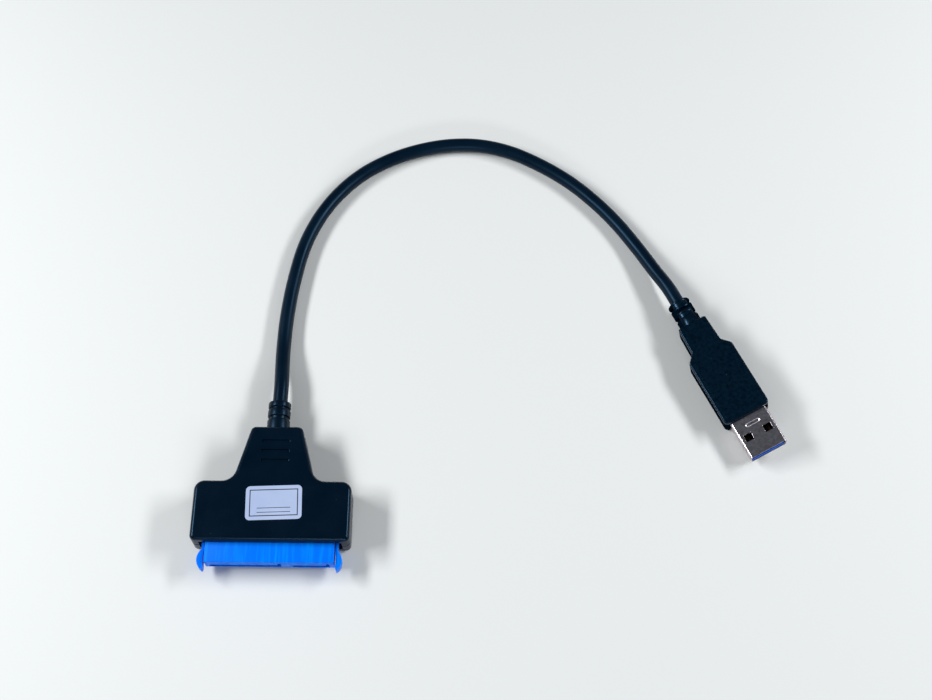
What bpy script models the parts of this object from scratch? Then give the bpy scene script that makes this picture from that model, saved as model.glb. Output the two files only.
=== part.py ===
"""USB to SATA adapter: a flat two-shell head with a SATA receptacle and a bridge board, a short
round cable and an overmoulded USB plug. Metres, +Z up, standing on Z = 0.

The head mates towards -Y, its cable leaves towards +Y. X = 0 and Y = 0 are the middle of the head,
measured from the tips of the guide ears to the end of the strain relief.
"""

from math import atan2, cos, pi, radians, sin, tan

import bmesh
import bpy
from mathutils import Matrix, Vector

mm = 0.001

# Clearances
GAP = 0.25 * mm            # between pieces that touch or snap together
SEAT_GAP = 0.15 * mm       # under what is soldered or laid on a face
LABEL_GAP = 0.08 * mm      # the glue under the label
THROUGH = 2 * mm           # how far a cutter runs past the face it cuts
SAME_POINT = 0.001 * mm    # outline points closer than this are one
LEAST_ROUND = 0.05 * mm    # a corner rounder than this is left sharp
CORNER_STEPS = 6           # straight pieces in a quarter turn of an outline

# Head
HEAD_WIDTH = 46.05 * mm
HEAD_HEIGHT = 10.6 * mm
HEAD_DEPTH = 35.4 * mm     # front face to the end of the neck
SHOULDER_DEPTH = 18.25 * mm
NECK_END_WIDTH = 15.0 * mm
NECK_ROOT_WIDTH = 24.1 * mm
FRONT_CORNER = 1.5 * mm
SHOULDER_CORNER = 3.0 * mm
NECK_FILLET = 4.2 * mm
NECK_CORNER = 1.7 * mm
RIM_ROUND = 1.3 * mm       # rounding of the outer top and bottom edges
SIDE_WALL = 1.5 * mm
FLAT_WALL = 1.4 * mm       # roof and floor
LIP_THICKNESS = 0.55 * mm
LIP_HEIGHT = 0.9 * mm
GRIP_GROOVES = 3
GROOVE_LENGTH = 8.4 * mm
GROOVE_WIDTH = 0.9 * mm
GROOVE_DEPTH = 0.5 * mm
GROOVE_PITCH = 3.05 * mm
GROOVE_FROM_END = 4.9 * mm

# SATA receptacle
BODY_WIDTH = 37.4 * mm
BODY_HEIGHT = 4.9 * mm
BODY_REACH = 5.8 * mm      # how far it stands out of the front face
BODY_BACK = 3.6 * mm       # how far it runs behind its flange
BODY_BEVEL = 0.25 * mm
FLANGE_HEIGHT = 6.2 * mm
FLANGE_THICKNESS = 1.6 * mm
FLANGE_HOLD = 0.6 * mm     # overlap of the flange behind the mouth
EAR_REACH = 7.7 * mm
EAR_BULGE = 1.95 * mm      # ear width where it bulges most
EAR_STEM = 0.75 * mm       # ear width at its stem
EAR_STRAIGHT = 1.8 * mm    # length of the stem outside the front face
EAR_HOLLOW = 0.2 * mm      # hollow of the inner side
EAR_TIP = 0.45 * mm
EAR_SHARPNESS = 0.8        # under 1, the bulge is fuller than a sine
EAR_STEPS = 8
EAR_HEIGHT = 3.2 * mm
SLOT_DEPTH = 5.0 * mm
SLOT_HEIGHT = 1.6 * mm
SLOT_WALL = 0.45 * mm      # under the slots
KEY_WIDTH = 1.0 * mm
KEY_RISE = 1.3 * mm
PITCH = 1.27 * mm
SIGNAL_CONTACTS = 7
POWER_CONTACTS = 15
SPLIT_PITCHES = 5          # pitches from the last signal contact to the first power contact
SLOT_END = 1.45 * mm       # slot past the middle of its end contact
CONTACT_WIDTH = 0.4 * mm
CONTACT_THICKNESS = 0.25 * mm
CONTACT_CROWN = 0.5 * mm
CROWN_LENGTH = 2.6 * mm
TAIL_FOOT = 1.4 * mm

# Circuit board and what it carries
BOARD_THICKNESS = 1.0 * mm
BOARD_ABOVE_MIDDLE = 0.1 * mm
BOARD_SHOULDER = 16.0 * mm
BOARD_BACK = 28.4 * mm
BOARD_EDGE = 1.4 * mm      # board to side wall
BOARD_CORNER = 0.5 * mm
BOARD_SHOULDER_CORNER = 1.5 * mm
BOARD_FILLET = 1.0 * mm
POST_RADIUS = 1.3 * mm
PIN_RADIUS = 0.6 * mm
PIN_RISE = 0.5 * mm
PIN_SIDES = 16
POST_FROM_EDGE = 2.7 * mm
PACKAGE_BEVEL = 0.15       # share of a package's height
PACKAGES = {               # name: width, depth, height, X as a share of half the board's width,
                           # Y from the front face
    "bridge_chip": (6.5 * mm, 6.5 * mm, 0.9 * mm, 0.0, 17.0 * mm),
    "crystal": (3.2 * mm, 2.5 * mm, 0.8 * mm, -0.41, 13.2 * mm),
    "flash_chip": (4.9 * mm, 3.9 * mm, 1.5 * mm, 0.42, 13.0 * mm),
    "regulator": (2.9 * mm, 1.6 * mm, 1.1 * mm, 0.67, 12.6 * mm),
    "inductor": (3.6 * mm, 3.6 * mm, 1.8 * mm, -0.65, 13.0 * mm),
    "capacitor_1": (2.0 * mm, 1.25 * mm, 0.9 * mm, -0.2, 11.9 * mm),
    "capacitor_2": (2.0 * mm, 1.25 * mm, 0.9 * mm, 0.2, 11.9 * mm),
    "capacitor_3": (1.25 * mm, 2.0 * mm, 0.9 * mm, -0.13, 22.8 * mm),
    "capacitor_4": (1.25 * mm, 2.0 * mm, 0.9 * mm, 0.13, 22.8 * mm),
}

# Label
LABEL_WIDTH = 16.3 * mm
LABEL_DEPTH = 10.4 * mm
LABEL_THICKNESS = 0.15 * mm
LABEL_CORNER = 1.3 * mm
LABEL_X = 0.7 * mm
LABEL_FROM_FRONT = 11.2 * mm
LABEL_TURN = radians(2.4)

# Cable and its strain relief on the head
CABLE_DIAMETER = 4.5 * mm
CABLE_STRAIGHT = 6.9 * mm  # run straight out of each strain relief
CABLE_DIP = 0.2 * mm       # how far it has sunk by then
CABLE_LIFT = 0.05 * mm     # clearance to the surface
RELIEF_X = -0.35 * mm      # the sleeve sits a little off the middle of the neck
RELIEF_DIAMETER = 6.8 * mm
RELIEF_LENGTH = 9.1 * mm   # outside the head
RELIEF_RINGS = (1.85 * mm, 2.35 * mm)  # lengths, from the cable towards the head
RELIEF_EDGE = 0.3 * mm     # bevel of its ends
RING_GROOVE_WIDTHS = (0.6 * mm, 0.9 * mm)  # in the same order
RING_GROOVE_DEPTH = 0.55 * mm
RELIEF_NECK_DIAMETER = 5.4 * mm
RELIEF_FLANGE_DIAMETER = 7.2 * mm
RELIEF_FLANGE_LENGTH = 1.5 * mm
TURNED_SIDES = 28
WIRE_DIAMETER = 0.9 * mm
WIRE_PITCH_AT_CABLE = 1.2 * mm
WIRE_PITCH_AT_BOARD = 3.0 * mm
WIRE_RISE_AT_CABLE = 1.1 * mm
WIRE_LANDING = 2.2 * mm    # length of wire over the board
WIRE_COLUMNS = 4           # on each face of the board
WIRE_STEPS = 6
WIRE_EARLY = 1.4           # above 1, the wires spread before they reach the board

# USB plug
PLUG_TURN = radians(26)    # from the head's mating direction
PLUG_ROLL = radians(14)    # it rests on the lower edge of one side, the other side up
PLUG_X = 142.0 * mm        # where the shell leaves the grip
PLUG_Y = 23.6 * mm
GRIP_HEIGHT = 7.6 * mm
GRIP_FRONT_WIDTH = 15.0 * mm
GRIP_BULGE_WIDTH = 14.9 * mm
GRIP_WAIST_WIDTH = 10.0 * mm
GRIP_REAR_WIDTH = 9.4 * mm
GRIP_BULGE = 22.4 * mm     # distances from the grip's front face
GRIP_WAIST = 25.0 * mm
GRIP_LENGTH = 34.2 * mm
GRIP_CORNER = 1.4 * mm
GRIP_RIM = 0.55 * mm
GRIP_RIBS = 9
GRIP_RIB_PITCH = 1.2 * mm
GRIP_RIB_DEPTH = 0.25 * mm
GRIP_RIB_START = 5.0 * mm
TAIL_DIAMETER = 7.2 * mm
TAIL_LENGTH = 8.8 * mm
TAIL_DISC = 0.85 * mm
TAIL_SLOT = 1.1 * mm
TAIL_SLOTS = 3
TAIL_CORE = 4.9 * mm
TAIL_EDGE = 0.3 * mm
SHELL_WIDTH = 12.0 * mm
SHELL_HEIGHT = 4.5 * mm
SHELL_WALL = 0.32 * mm
SHELL_CORNER = 0.7 * mm
SHELL_REACH = 12.3 * mm
SHELL_BURIED = 6.2 * mm
WINDOW_WIDTH = 2.5 * mm
WINDOW_LENGTH = 2.3 * mm
WINDOW_SPREAD = 6.5 * mm
WINDOW_FROM_GRIP = 6.2 * mm
LANCE_LENGTH = 4.8 * mm
LANCE_WIDTH = 1.3 * mm
LANCE_DEPTH = 0.16 * mm
LANCE_FROM_GRIP = 2.8 * mm
TONGUE_THICKNESS = 1.84 * mm
TONGUE_SETBACK = 0.15 * mm
TONGUE_ROOT = 1.0 * mm
FLAT_CONTACT_X = (-3.5 * mm, -1.0 * mm, 1.0 * mm, 3.5 * mm)
FLAT_CONTACT_WIDTH = 1.0 * mm
FLAT_CONTACT_LENGTH = 6.0 * mm
FLAT_CONTACT_SETBACK = 1.0 * mm
RAISED_CONTACTS = 5
RAISED_CONTACT_PITCH = 2.0 * mm
RAISED_CONTACT_WIDTH = 0.6 * mm
RAISED_CONTACT_LENGTH = 3.2 * mm
RAISED_CONTACT_CROWN = 0.6 * mm
RAISED_CONTACT_STEPS = 8

# Levels and places that follow from the sizes above
MIDDLE = HEAD_HEIGHT / 2
RELIEF_END = HEAD_DEPTH + GAP + RELIEF_LENGTH
FRONT = -(RELIEF_END - EAR_REACH) / 2
FLANGE_FRONT = SIDE_WALL + GAP
FLANGE_BACK = FLANGE_FRONT + FLANGE_THICKNESS
FLANGE_WIDTH = HEAD_WIDTH - 2 * (SIDE_WALL + GAP)
MOUTH_WIDTH = FLANGE_WIDTH - 2 * FLANGE_HOLD
BODY_END = FLANGE_BACK + BODY_BACK
SLOT_FLOOR = MIDDLE - BODY_HEIGHT / 2 + SLOT_WALL
SLOT_ROOF = SLOT_FLOOR + SLOT_HEIGHT
CONTACT_LEVEL = SLOT_FLOOR + GAP + CONTACT_THICKNESS / 2
BOARD_FRONT = BODY_END + GAP
BOARD_TOP = MIDDLE + BOARD_ABOVE_MIDDLE
BOARD_BOTTOM = BOARD_TOP - BOARD_THICKNESS
BOARD_WIDTH = HEAD_WIDTH - 2 * (SIDE_WALL + BOARD_EDGE)
BOARD_NECK_WIDTH = NECK_END_WIDTH - 2 * (SIDE_WALL + GAP)
RELIEF_START = HEAD_DEPTH - SIDE_WALL - GAP - RELIEF_FLANGE_LENGTH
PLUG_AXIS = ((GRIP_FRONT_WIDTH / 2 - GRIP_RIM) * sin(PLUG_ROLL)
             + (GRIP_HEIGHT / 2 - GRIP_RIM) * cos(PLUG_ROLL) + GRIP_RIM)
PLUG_END = GRIP_LENGTH + TAIL_LENGTH
TONGUE_TOP = -SHELL_HEIGHT / 2 + SHELL_WALL + SEAT_GAP + TONGUE_THICKNESS
CABLE_LIE = CABLE_DIAMETER / 2 + CABLE_LIFT

# The cable's way over the surface between its two straight ends, chosen by hand
CABLE_ROUTE = [Vector(point) * mm for point in (
    (-0.7, 40.5, 3.9), (-0.9, 48.0, 2.6), (-0.6, 57.5, 2.3), (0.6, 69.0, 2.3),
    (3.0, 82.0, 2.3), (7.0, 93.0, 2.3), (12.8, 102.7, 2.3), (20.4, 110.9, 2.3),
    (29.4, 117.0, 2.3), (39.4, 121.2, 2.3), (49.9, 123.5, 2.3), (60.4, 123.5, 2.3),
    (70.9, 120.8, 2.3), (80.9, 115.7, 2.3), (89.9, 109.5, 2.3), (97.9, 102.1, 2.3),
    (105.1, 93.7, 2.3), (111.3, 84.4, 2.7), (116.4, 75.2, 3.9),
)]

parts = None
cutters = None


def start_scene():
    """Empty the file and make one collection for the pieces and one for the cutters."""
    global parts, cutters
    for old in list(bpy.data.objects):
        bpy.data.objects.remove(old, do_unlink=True)
    parts = bpy.data.collections.new("usb_to_sata_adapter")
    cutters = bpy.data.collections.new("cutters")
    for collection in (parts, cutters):
        bpy.context.scene.collection.children.link(collection)


def finish(name, colour, roughness, metallic=0.0):
    """A plain Principled material."""
    material = bpy.data.materials.new(name)
    material.use_nodes = True
    shader = material.node_tree.nodes["Principled BSDF"]
    shader.inputs["Base Color"].default_value = (*colour, 1.0)
    shader.inputs["Roughness"].default_value = roughness
    shader.inputs["Metallic"].default_value = metallic
    return material


def add_piece(name, mesh, material):
    """Put a finished mesh in the scene as a named sub-part."""
    piece = bpy.data.objects.new(name, mesh)
    if mesh.materials:
        mesh.materials.clear()
    mesh.materials.append(material)
    parts.objects.link(piece)
    return piece


def mesh_from(shape, name="shape", settled=False):
    """Turn a bmesh into a mesh, with the faces of its one body pointing out unless settled."""
    if not settled:
        bmesh.ops.recalc_face_normals(shape, faces=shape.faces)
        if shape.calc_volume(signed=True) < 0:
            bmesh.ops.reverse_faces(shape, faces=shape.faces)
    mesh = bpy.data.meshes.new(name)
    shape.to_mesh(mesh)
    shape.free()
    return mesh


def box(low, high):
    """A bmesh box between two corners."""
    shape = bmesh.new()
    bmesh.ops.create_cube(shape, size=1.0)
    size = [b - a for a, b in zip(low, high)]
    middle = [(a + b) / 2 for a, b in zip(low, high)]
    bmesh.ops.scale(shape, vec=size, verts=shape.verts)
    bmesh.ops.translate(shape, vec=middle, verts=shape.verts)
    return shape


def rod(radius, start, end, x, y, sides=24):
    """A bmesh cylinder standing along Z from start to end."""
    shape = bmesh.new()
    bmesh.ops.create_cone(
        shape, cap_ends=True, segments=sides, radius1=radius, radius2=radius, depth=end - start
    )
    bmesh.ops.translate(shape, vec=(x, y, (start + end) / 2), verts=shape.verts)
    return shape


def prism(outline, low, high):
    """A bmesh of a closed outline in X and Y, raised from Z low to Z high."""
    shape = bmesh.new()
    face = shape.faces.new([shape.verts.new((x, y, low)) for x, y in outline])
    raised = bmesh.ops.extrude_face_region(shape, geom=[face])
    top = [item for item in raised["geom"] if isinstance(item, bmesh.types.BMVert)]
    bmesh.ops.translate(shape, vec=(0, 0, high - low), verts=top)
    return shape


def turn_to_face(shape, across):
    """Stand a prism up: 'Y' sends its height along Y, 'X' sends it along X."""
    if across == "Y":     # outline in X and Z
        matrix = Matrix(((1, 0, 0), (0, 0, 1), (0, 1, 0)))
    else:                 # outline in Y and Z
        matrix = Matrix(((0, 0, 1), (1, 0, 0), (0, 1, 0)))
    for vert in shape.verts:
        vert.co = matrix @ vert.co
    return shape


def round_rim(shape, level, radius, steps=4):
    """Round the outer edges that lie at one height of a prism."""
    rim = [edge for edge in shape.edges
           if all(abs(vert.co.z - level) < SAME_POINT for vert in edge.verts)]
    bmesh.ops.bevel(shape, geom=rim, offset=radius, segments=steps, profile=0.5, affect="EDGES")
    return shape


def rounded_outline(corners, inset=0.0, steps=CORNER_STEPS):
    """Points of a polygon whose corners (x, y, radius) run anticlockwise, moved inwards by inset.

    A convex corner keeps its centre, so its radius shrinks by the inset; a concave one grows.
    """
    count = len(corners)
    flat = [Vector(corner[:2]) for corner in corners]
    points = []
    for i in range(count):
        before = (flat[i] - flat[i - 1]).normalized()
        after = (flat[(i + 1) % count] - flat[i]).normalized()
        bend = before.x * after.y - before.y * after.x
        turn = atan2(bend, before.dot(after))
        inward = Vector((-before.y, before.x)) + Vector((-after.y, after.x))
        corner = flat[i] + inward * inset / (1 + before.dot(after))
        radius = corners[i][2] - inset if turn > 0 else corners[i][2] + inset
        if radius <= LEAST_ROUND:
            points.append(corner)
            continue
        reach = radius * tan(abs(turn) / 2)
        side = 1 if turn > 0 else -1
        centre = corner - before * reach + Vector((-before.y, before.x)) * radius * side
        start = atan2(-before.x * side, before.y * side)
        pieces = max(2, round(steps * abs(turn) / (pi / 2)))
        for step in range(pieces + 1):
            angle = start + turn * step / pieces
            points.append(centre + Vector((cos(angle), sin(angle))) * radius)
    apart = [b for a, b in zip([points[-1]] + points, points) if (b - a).length > SAME_POINT]
    return [tuple(point) for point in apart]


def mirrored(half):
    """Close a half outline (bottom to top on the +X side) with its mirror image."""
    return half + [(-x, y, radius) for x, y, radius in reversed(half)]


def rectangle(width, depth, radius, x=0.0, y=0.0):
    """Corners of a rectangle around a point."""
    w, d = width / 2, depth / 2
    return [(x + w, y - d, radius), (x + w, y + d, radius),
            (x - w, y + d, radius), (x - w, y - d, radius)]


def combine(target, shapes, operation):
    """Join shapes to a piece, or cut them from it, with one exact Boolean each, then apply it."""
    for shape in shapes:
        tool_mesh = shape if isinstance(shape, bpy.types.Mesh) else mesh_from(shape)
        tool = bpy.data.objects.new("tool_" + target.name, tool_mesh)
        tool.hide_render = True
        tool.display_type = "WIRE"
        cutters.objects.link(tool)
        step = target.modifiers.new(operation.lower(), "BOOLEAN")
        step.operation = operation
        step.solver = "EXACT"
        step.object = tool
        bpy.context.view_layer.update()
        graph = bpy.context.evaluated_depsgraph_get()
        made = bpy.data.meshes.new_from_object(target.evaluated_get(graph))
        target.modifiers.remove(step)
        target.data = made
        bpy.data.objects.remove(tool, do_unlink=True)


def joined(shapes):
    """One mesh that holds several shapes which do not meet."""
    whole = bmesh.new()
    for shape in shapes:
        mesh = mesh_from(shape)
        whole.from_mesh(mesh)
        bpy.data.meshes.remove(mesh)
    return mesh_from(whole, settled=True)


def shade(piece, angle=35):
    """Smooth the round faces and keep the edges sharp."""
    piece.data.shade_smooth()
    piece.data.set_sharp_from_angle(angle=radians(angle))


def head_outline(inset=0.0):
    """Outline of the head seen from above, with its front face at Y = FRONT."""
    half = [
        (HEAD_WIDTH / 2, FRONT, FRONT_CORNER),
        (HEAD_WIDTH / 2, FRONT + SHOULDER_DEPTH, SHOULDER_CORNER),
        (NECK_ROOT_WIDTH / 2, FRONT + SHOULDER_DEPTH, NECK_FILLET),
        (NECK_END_WIDTH / 2, FRONT + HEAD_DEPTH, NECK_CORNER),
    ]
    return rounded_outline(mirrored(half), inset)


def mouth_cutter():
    """The opening in the front wall that the receptacle comes through."""
    reach = BODY_HEIGHT / 2 + GAP
    return box(
        (-MOUTH_WIDTH / 2, FRONT - THROUGH, MIDDLE - reach),
        (MOUTH_WIDTH / 2, FRONT + SIDE_WALL + THROUGH / 2, MIDDLE + reach),
    )


def relief_cutter():
    """The round hole in the end wall for the neck of the strain relief."""
    outline = circle_points(RELIEF_NECK_DIAMETER / 2 + GAP, RELIEF_X, MIDDLE, TURNED_SIDES)
    end = FRONT + HEAD_DEPTH
    return turn_to_face(prism(outline, end - SIDE_WALL - THROUGH / 2, end + THROUGH), "Y")


def circle_points(radius, x, y, sides):
    """Points of a circle."""
    return [
        (x + radius * cos(2 * pi * i / sides), y + radius * sin(2 * pi * i / sides))
        for i in range(sides)
    ]


def flange_ribs(low, high):
    """Ribs from the side walls that hold the receptacle's flange from behind."""
    front = FRONT + FLANGE_BACK + GAP
    inner = BODY_WIDTH / 2 + 2 * GAP
    outer = HEAD_WIDTH / 2 - SIDE_WALL / 2
    return [
        box((min(side * inner, side * outer), front, low),
            (max(side * inner, side * outer), front + SIDE_WALL, high))
        for side in (-1, 1)
    ]


def relief_ribs(low, high):
    """Ribs on both sides of the strain relief's flange, inside the neck."""
    front = FRONT + RELIEF_START - GAP - SIDE_WALL
    reach = NECK_END_WIDTH / 2 - SIDE_WALL / 2
    clear = WIRE_PITCH_AT_BOARD * (WIRE_COLUMNS - 1) / 2 + WIRE_DIAMETER / 2 + GAP
    return [
        box((min(side * clear, side * reach), front, low),
            (max(side * clear, side * reach), front + SIDE_WALL, high))
        for side in (-1, 1)
    ]


def post_places():
    """Middles of the posts under the wide part of the board."""
    x = BOARD_WIDTH / 2 - POST_FROM_EDGE
    y = FRONT + BOARD_SHOULDER - POST_FROM_EDGE
    return [(-x, y), (x, y)]


def make_lower_shell(material):
    """The bottom of the head: floor, walls, a lip on the seam, ribs and the board's posts."""
    seam = MIDDLE - GAP / 2
    shape = round_rim(prism(head_outline(), 0, seam), 0, RIM_ROUND)
    shell = add_piece("lower_shell", mesh_from(shape), material)
    lip_start = SIDE_WALL - LIP_THICKNESS
    combine(shell, [prism(head_outline(lip_start), FLAT_WALL, seam + LIP_HEIGHT)], "UNION")
    combine(shell, [prism(head_outline(SIDE_WALL), FLAT_WALL, HEAD_HEIGHT)], "DIFFERENCE")
    sunk = FLAT_WALL / 2
    additions = flange_ribs(sunk, seam) + relief_ribs(sunk, seam)
    neck_x = BOARD_NECK_WIDTH / 2 - POST_RADIUS
    neck_y = FRONT + BOARD_BACK - WIRE_LANDING - POST_FROM_EDGE
    for x, y in post_places():
        additions.append(rod(POST_RADIUS, sunk, BOARD_BOTTOM - SEAT_GAP, x, y))
        additions.append(rod(PIN_RADIUS, FLAT_WALL, BOARD_TOP + PIN_RISE, x, y, PIN_SIDES))
    for x in (-neck_x, neck_x):
        additions.append(rod(POST_RADIUS, sunk, BOARD_BOTTOM - SEAT_GAP, x, neck_y))
    combine(shell, additions, "UNION")
    combine(shell, [mouth_cutter(), relief_cutter()], "DIFFERENCE")
    shade(shell)


def make_upper_shell(material):
    """The top of the head: roof, walls, a rebate for the lip, ribs, bored posts and grip grooves."""
    seam = MIDDLE + GAP / 2
    shape = round_rim(prism(head_outline(), seam, HEAD_HEIGHT), HEAD_HEIGHT, RIM_ROUND)
    shell = add_piece("upper_shell", mesh_from(shape), material)
    roof = HEAD_HEIGHT - FLAT_WALL
    rebate = SIDE_WALL - LIP_THICKNESS - GAP
    rebate_top = MIDDLE - GAP / 2 + LIP_HEIGHT + GAP
    combine(shell, [prism(head_outline(SIDE_WALL), 0, roof)], "DIFFERENCE")
    combine(shell, [prism(head_outline(rebate), 0, rebate_top)], "DIFFERENCE")
    sunk = HEAD_HEIGHT - FLAT_WALL / 2
    rib_start = rebate_top + GAP
    additions = flange_ribs(rib_start, sunk) + relief_ribs(rib_start, sunk)
    bores = []
    for x, y in post_places():
        additions.append(rod(POST_RADIUS, BOARD_TOP + SEAT_GAP, sunk, x, y))
        bores.append(rod(PIN_RADIUS + GAP, BOARD_TOP - THROUGH, BOARD_TOP + PIN_RISE + GAP, x, y,
                         PIN_SIDES))
    combine(shell, additions, "UNION")
    combine(shell, [joined(bores), mouth_cutter(), relief_cutter()], "DIFFERENCE")
    grooves = []
    for i in range(GRIP_GROOVES):
        y = FRONT + HEAD_DEPTH - GROOVE_FROM_END - i * GROOVE_PITCH
        outline = rounded_outline(rectangle(GROOVE_LENGTH, GROOVE_WIDTH, GROOVE_WIDTH / 2, 0, y))
        grooves.append(prism(outline, HEAD_HEIGHT - GROOVE_DEPTH, HEAD_HEIGHT + THROUGH))
    combine(shell, [joined(grooves)], "DIFFERENCE")
    shade(shell)


def contact_places():
    """X of each signal contact and of each power contact, with the row's ends level about X = 0."""
    spans = SIGNAL_CONTACTS - 1 + SPLIT_PITCHES + POWER_CONTACTS - 1
    first = spans * PITCH / 2
    signal = [first - i * PITCH for i in range(SIGNAL_CONTACTS)]
    start = signal[-1] - SPLIT_PITCHES * PITCH
    power = [start - i * PITCH for i in range(POWER_CONTACTS)]
    return signal, power


def slot_cutter(row):
    """An L-shaped slot around one row of contacts, with its key leg up at the high-X end."""
    left, right = min(row) - SLOT_END, max(row) + SLOT_END
    outline = [
        (left, SLOT_FLOOR), (right, SLOT_FLOOR), (right, SLOT_ROOF + KEY_RISE),
        (right - KEY_WIDTH, SLOT_ROOF + KEY_RISE), (right - KEY_WIDTH, SLOT_ROOF), (left, SLOT_ROOF),
    ]
    front = FRONT - BODY_REACH
    return turn_to_face(prism(outline, front - THROUGH, front + SLOT_DEPTH), "Y")


def ear_outline(side):
    """One guide ear seen from above: a stem from the flange, bulging out and hooking back in."""
    inner = BODY_WIDTH / 2 + GAP
    root = FLANGE_FRONT + FLANGE_THICKNESS / 2
    hook = EAR_REACH - EAR_STRAIGHT
    points = [(inner, root), (inner, -EAR_STRAIGHT)]
    for i in range(1, EAR_STEPS):
        along = i / EAR_STEPS
        points.append((inner + EAR_HOLLOW * sin(pi * along), -EAR_STRAIGHT - hook * along))
    points.append((inner + EAR_TIP, -EAR_REACH))
    for i in range(EAR_STEPS - 1, 0, -1):
        along = i / EAR_STEPS
        width = EAR_STEM + (EAR_BULGE - EAR_STEM) * sin(pi * along) ** EAR_SHARPNESS
        points.append((inner + width, -EAR_STRAIGHT - hook * along))
    points += [(inner + EAR_STEM, -EAR_STRAIGHT), (inner + EAR_STEM, root)]
    return [(side * x, FRONT + y) for x, y in points]


def make_receptacle(material):
    """The blue moulding: body, flange and guide ears, with two keyed slots and the contact holes."""
    low, high = MIDDLE - BODY_HEIGHT / 2, MIDDLE + BODY_HEIGHT / 2
    body = box((-BODY_WIDTH / 2, FRONT - BODY_REACH, low), (BODY_WIDTH / 2, FRONT + BODY_END, high))
    bmesh.ops.bevel(body, geom=list(body.edges), offset=BODY_BEVEL, segments=2, profile=0.5,
                    affect="EDGES")
    piece = add_piece("sata_receptacle", mesh_from(body), material)
    reach = FLANGE_HEIGHT / 2
    additions = [box((-FLANGE_WIDTH / 2, FRONT + FLANGE_FRONT, MIDDLE - reach),
                     (FLANGE_WIDTH / 2, FRONT + FLANGE_BACK, MIDDLE + reach))]
    ear_low = MIDDLE - EAR_HEIGHT / 2
    for side in (-1, 1):
        additions.append(prism(ear_outline(side), ear_low, ear_low + EAR_HEIGHT))
    combine(piece, additions, "UNION")
    signal, power = contact_places()
    holes = []
    half_width = CONTACT_WIDTH / 2 + GAP
    half_height = CONTACT_THICKNESS / 2 + GAP - SEAT_GAP / 2
    for x in signal + power:
        holes.append(box(
            (x - half_width, FRONT - BODY_REACH + SLOT_DEPTH - THROUGH / 2,
             CONTACT_LEVEL - half_height),
            (x + half_width, FRONT + BODY_END + THROUGH, CONTACT_LEVEL + half_height)))
    slots = [slot_cutter(signal), slot_cutter(power)]
    combine(piece, [joined(slots)], "DIFFERENCE")
    combine(piece, [joined(holes)], "DIFFERENCE")
    shade(piece)


def strip(points, thickness, width):
    """A flat strip of even thickness that follows points (y, z) and is width wide along X."""
    line = [Vector(point) for point in points]
    left, right = [], []
    for i, point in enumerate(line):
        ahead = line[min(i + 1, len(line) - 1)] - line[max(i - 1, 0)]
        normal = Vector((-ahead.y, ahead.x)).normalized() * thickness / 2
        left.append(tuple(point + normal))
        right.append(tuple(point - normal))
    return turn_to_face(prism(right + left[::-1], -width / 2, width / 2), "X")


def make_contacts(material):
    """Stamped spring contacts: a crown in the slot, a straight run and a foot under the board."""
    foot = BOARD_BOTTOM - SEAT_GAP - CONTACT_THICKNESS / 2
    tip = FRONT - BODY_REACH + BODY_BEVEL + 2 * GAP
    bend = FRONT + BODY_END + GAP
    rise = foot - CONTACT_LEVEL
    crown = [(0, 0), (0.2, 0.6), (0.4, 1.0), (0.6, 0.6), (1, 0)]        # shares of length and height
    ankle = [(0, 0), (0.35, 0.3), (0.55, 0.75), (1, 1)]                 # shares of the rise
    line = [(tip + CROWN_LENGTH * y, CONTACT_LEVEL + CONTACT_CROWN * z) for y, z in crown]
    line += [(bend + rise * y, CONTACT_LEVEL + rise * z) for y, z in ankle]
    line.append((bend + rise + TAIL_FOOT, foot))
    mesh = mesh_from(strip(line, CONTACT_THICKNESS, CONTACT_WIDTH), "contact")
    signal, power = contact_places()
    for label, row in (("signal_contact", signal), ("power_contact", power)):
        for i, x in enumerate(row):
            contact = add_piece(f"{label}_{i + 1}", mesh, material)
            contact.location.x = x


def make_board(board_material, materials):
    """The T-shaped board on its posts, and the packages soldered on its top."""
    half = [
        (BOARD_WIDTH / 2, FRONT + BOARD_FRONT, BOARD_CORNER),
        (BOARD_WIDTH / 2, FRONT + BOARD_SHOULDER, BOARD_SHOULDER_CORNER),
        (BOARD_NECK_WIDTH / 2, FRONT + BOARD_SHOULDER, BOARD_FILLET),
        (BOARD_NECK_WIDTH / 2, FRONT + BOARD_BACK, BOARD_CORNER),
    ]
    shape = prism(rounded_outline(mirrored(half), steps=3), BOARD_BOTTOM, BOARD_TOP)
    board = add_piece("circuit_board", mesh_from(shape), board_material)
    holes = [
        rod(PIN_RADIUS + GAP, BOARD_BOTTOM - THROUGH, BOARD_TOP + THROUGH, x, y, PIN_SIDES)
        for x, y in post_places()
    ]
    combine(board, [joined(holes)], "DIFFERENCE")
    shade(board)
    seat = BOARD_TOP + SEAT_GAP
    for name, (width, depth, height, share, y) in PACKAGES.items():
        x = share * BOARD_WIDTH / 2
        shape = box((x - width / 2, FRONT + y - depth / 2, seat),
                    (x + width / 2, FRONT + y + depth / 2, seat + height))
        top = [edge for edge in shape.edges
               if all(v.co.z > seat + height / 2 for v in edge.verts)]
        bmesh.ops.bevel(shape, geom=top, offset=height * PACKAGE_BEVEL, segments=1, affect="EDGES")
        kind = name.split("_")[0]
        add_piece(name, mesh_from(shape), materials[kind])


def make_label(material):
    """The rounded sticker on the roof, put on a little askew."""
    outline = rounded_outline(rectangle(LABEL_WIDTH, LABEL_DEPTH, LABEL_CORNER))
    label = add_piece("label", mesh_from(prism(outline, 0, LABEL_THICKNESS)), material)
    label.location = (LABEL_X, FRONT + LABEL_FROM_FRONT, HEAD_HEIGHT + LABEL_GAP)
    label.rotation_euler.z = LABEL_TURN


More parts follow.
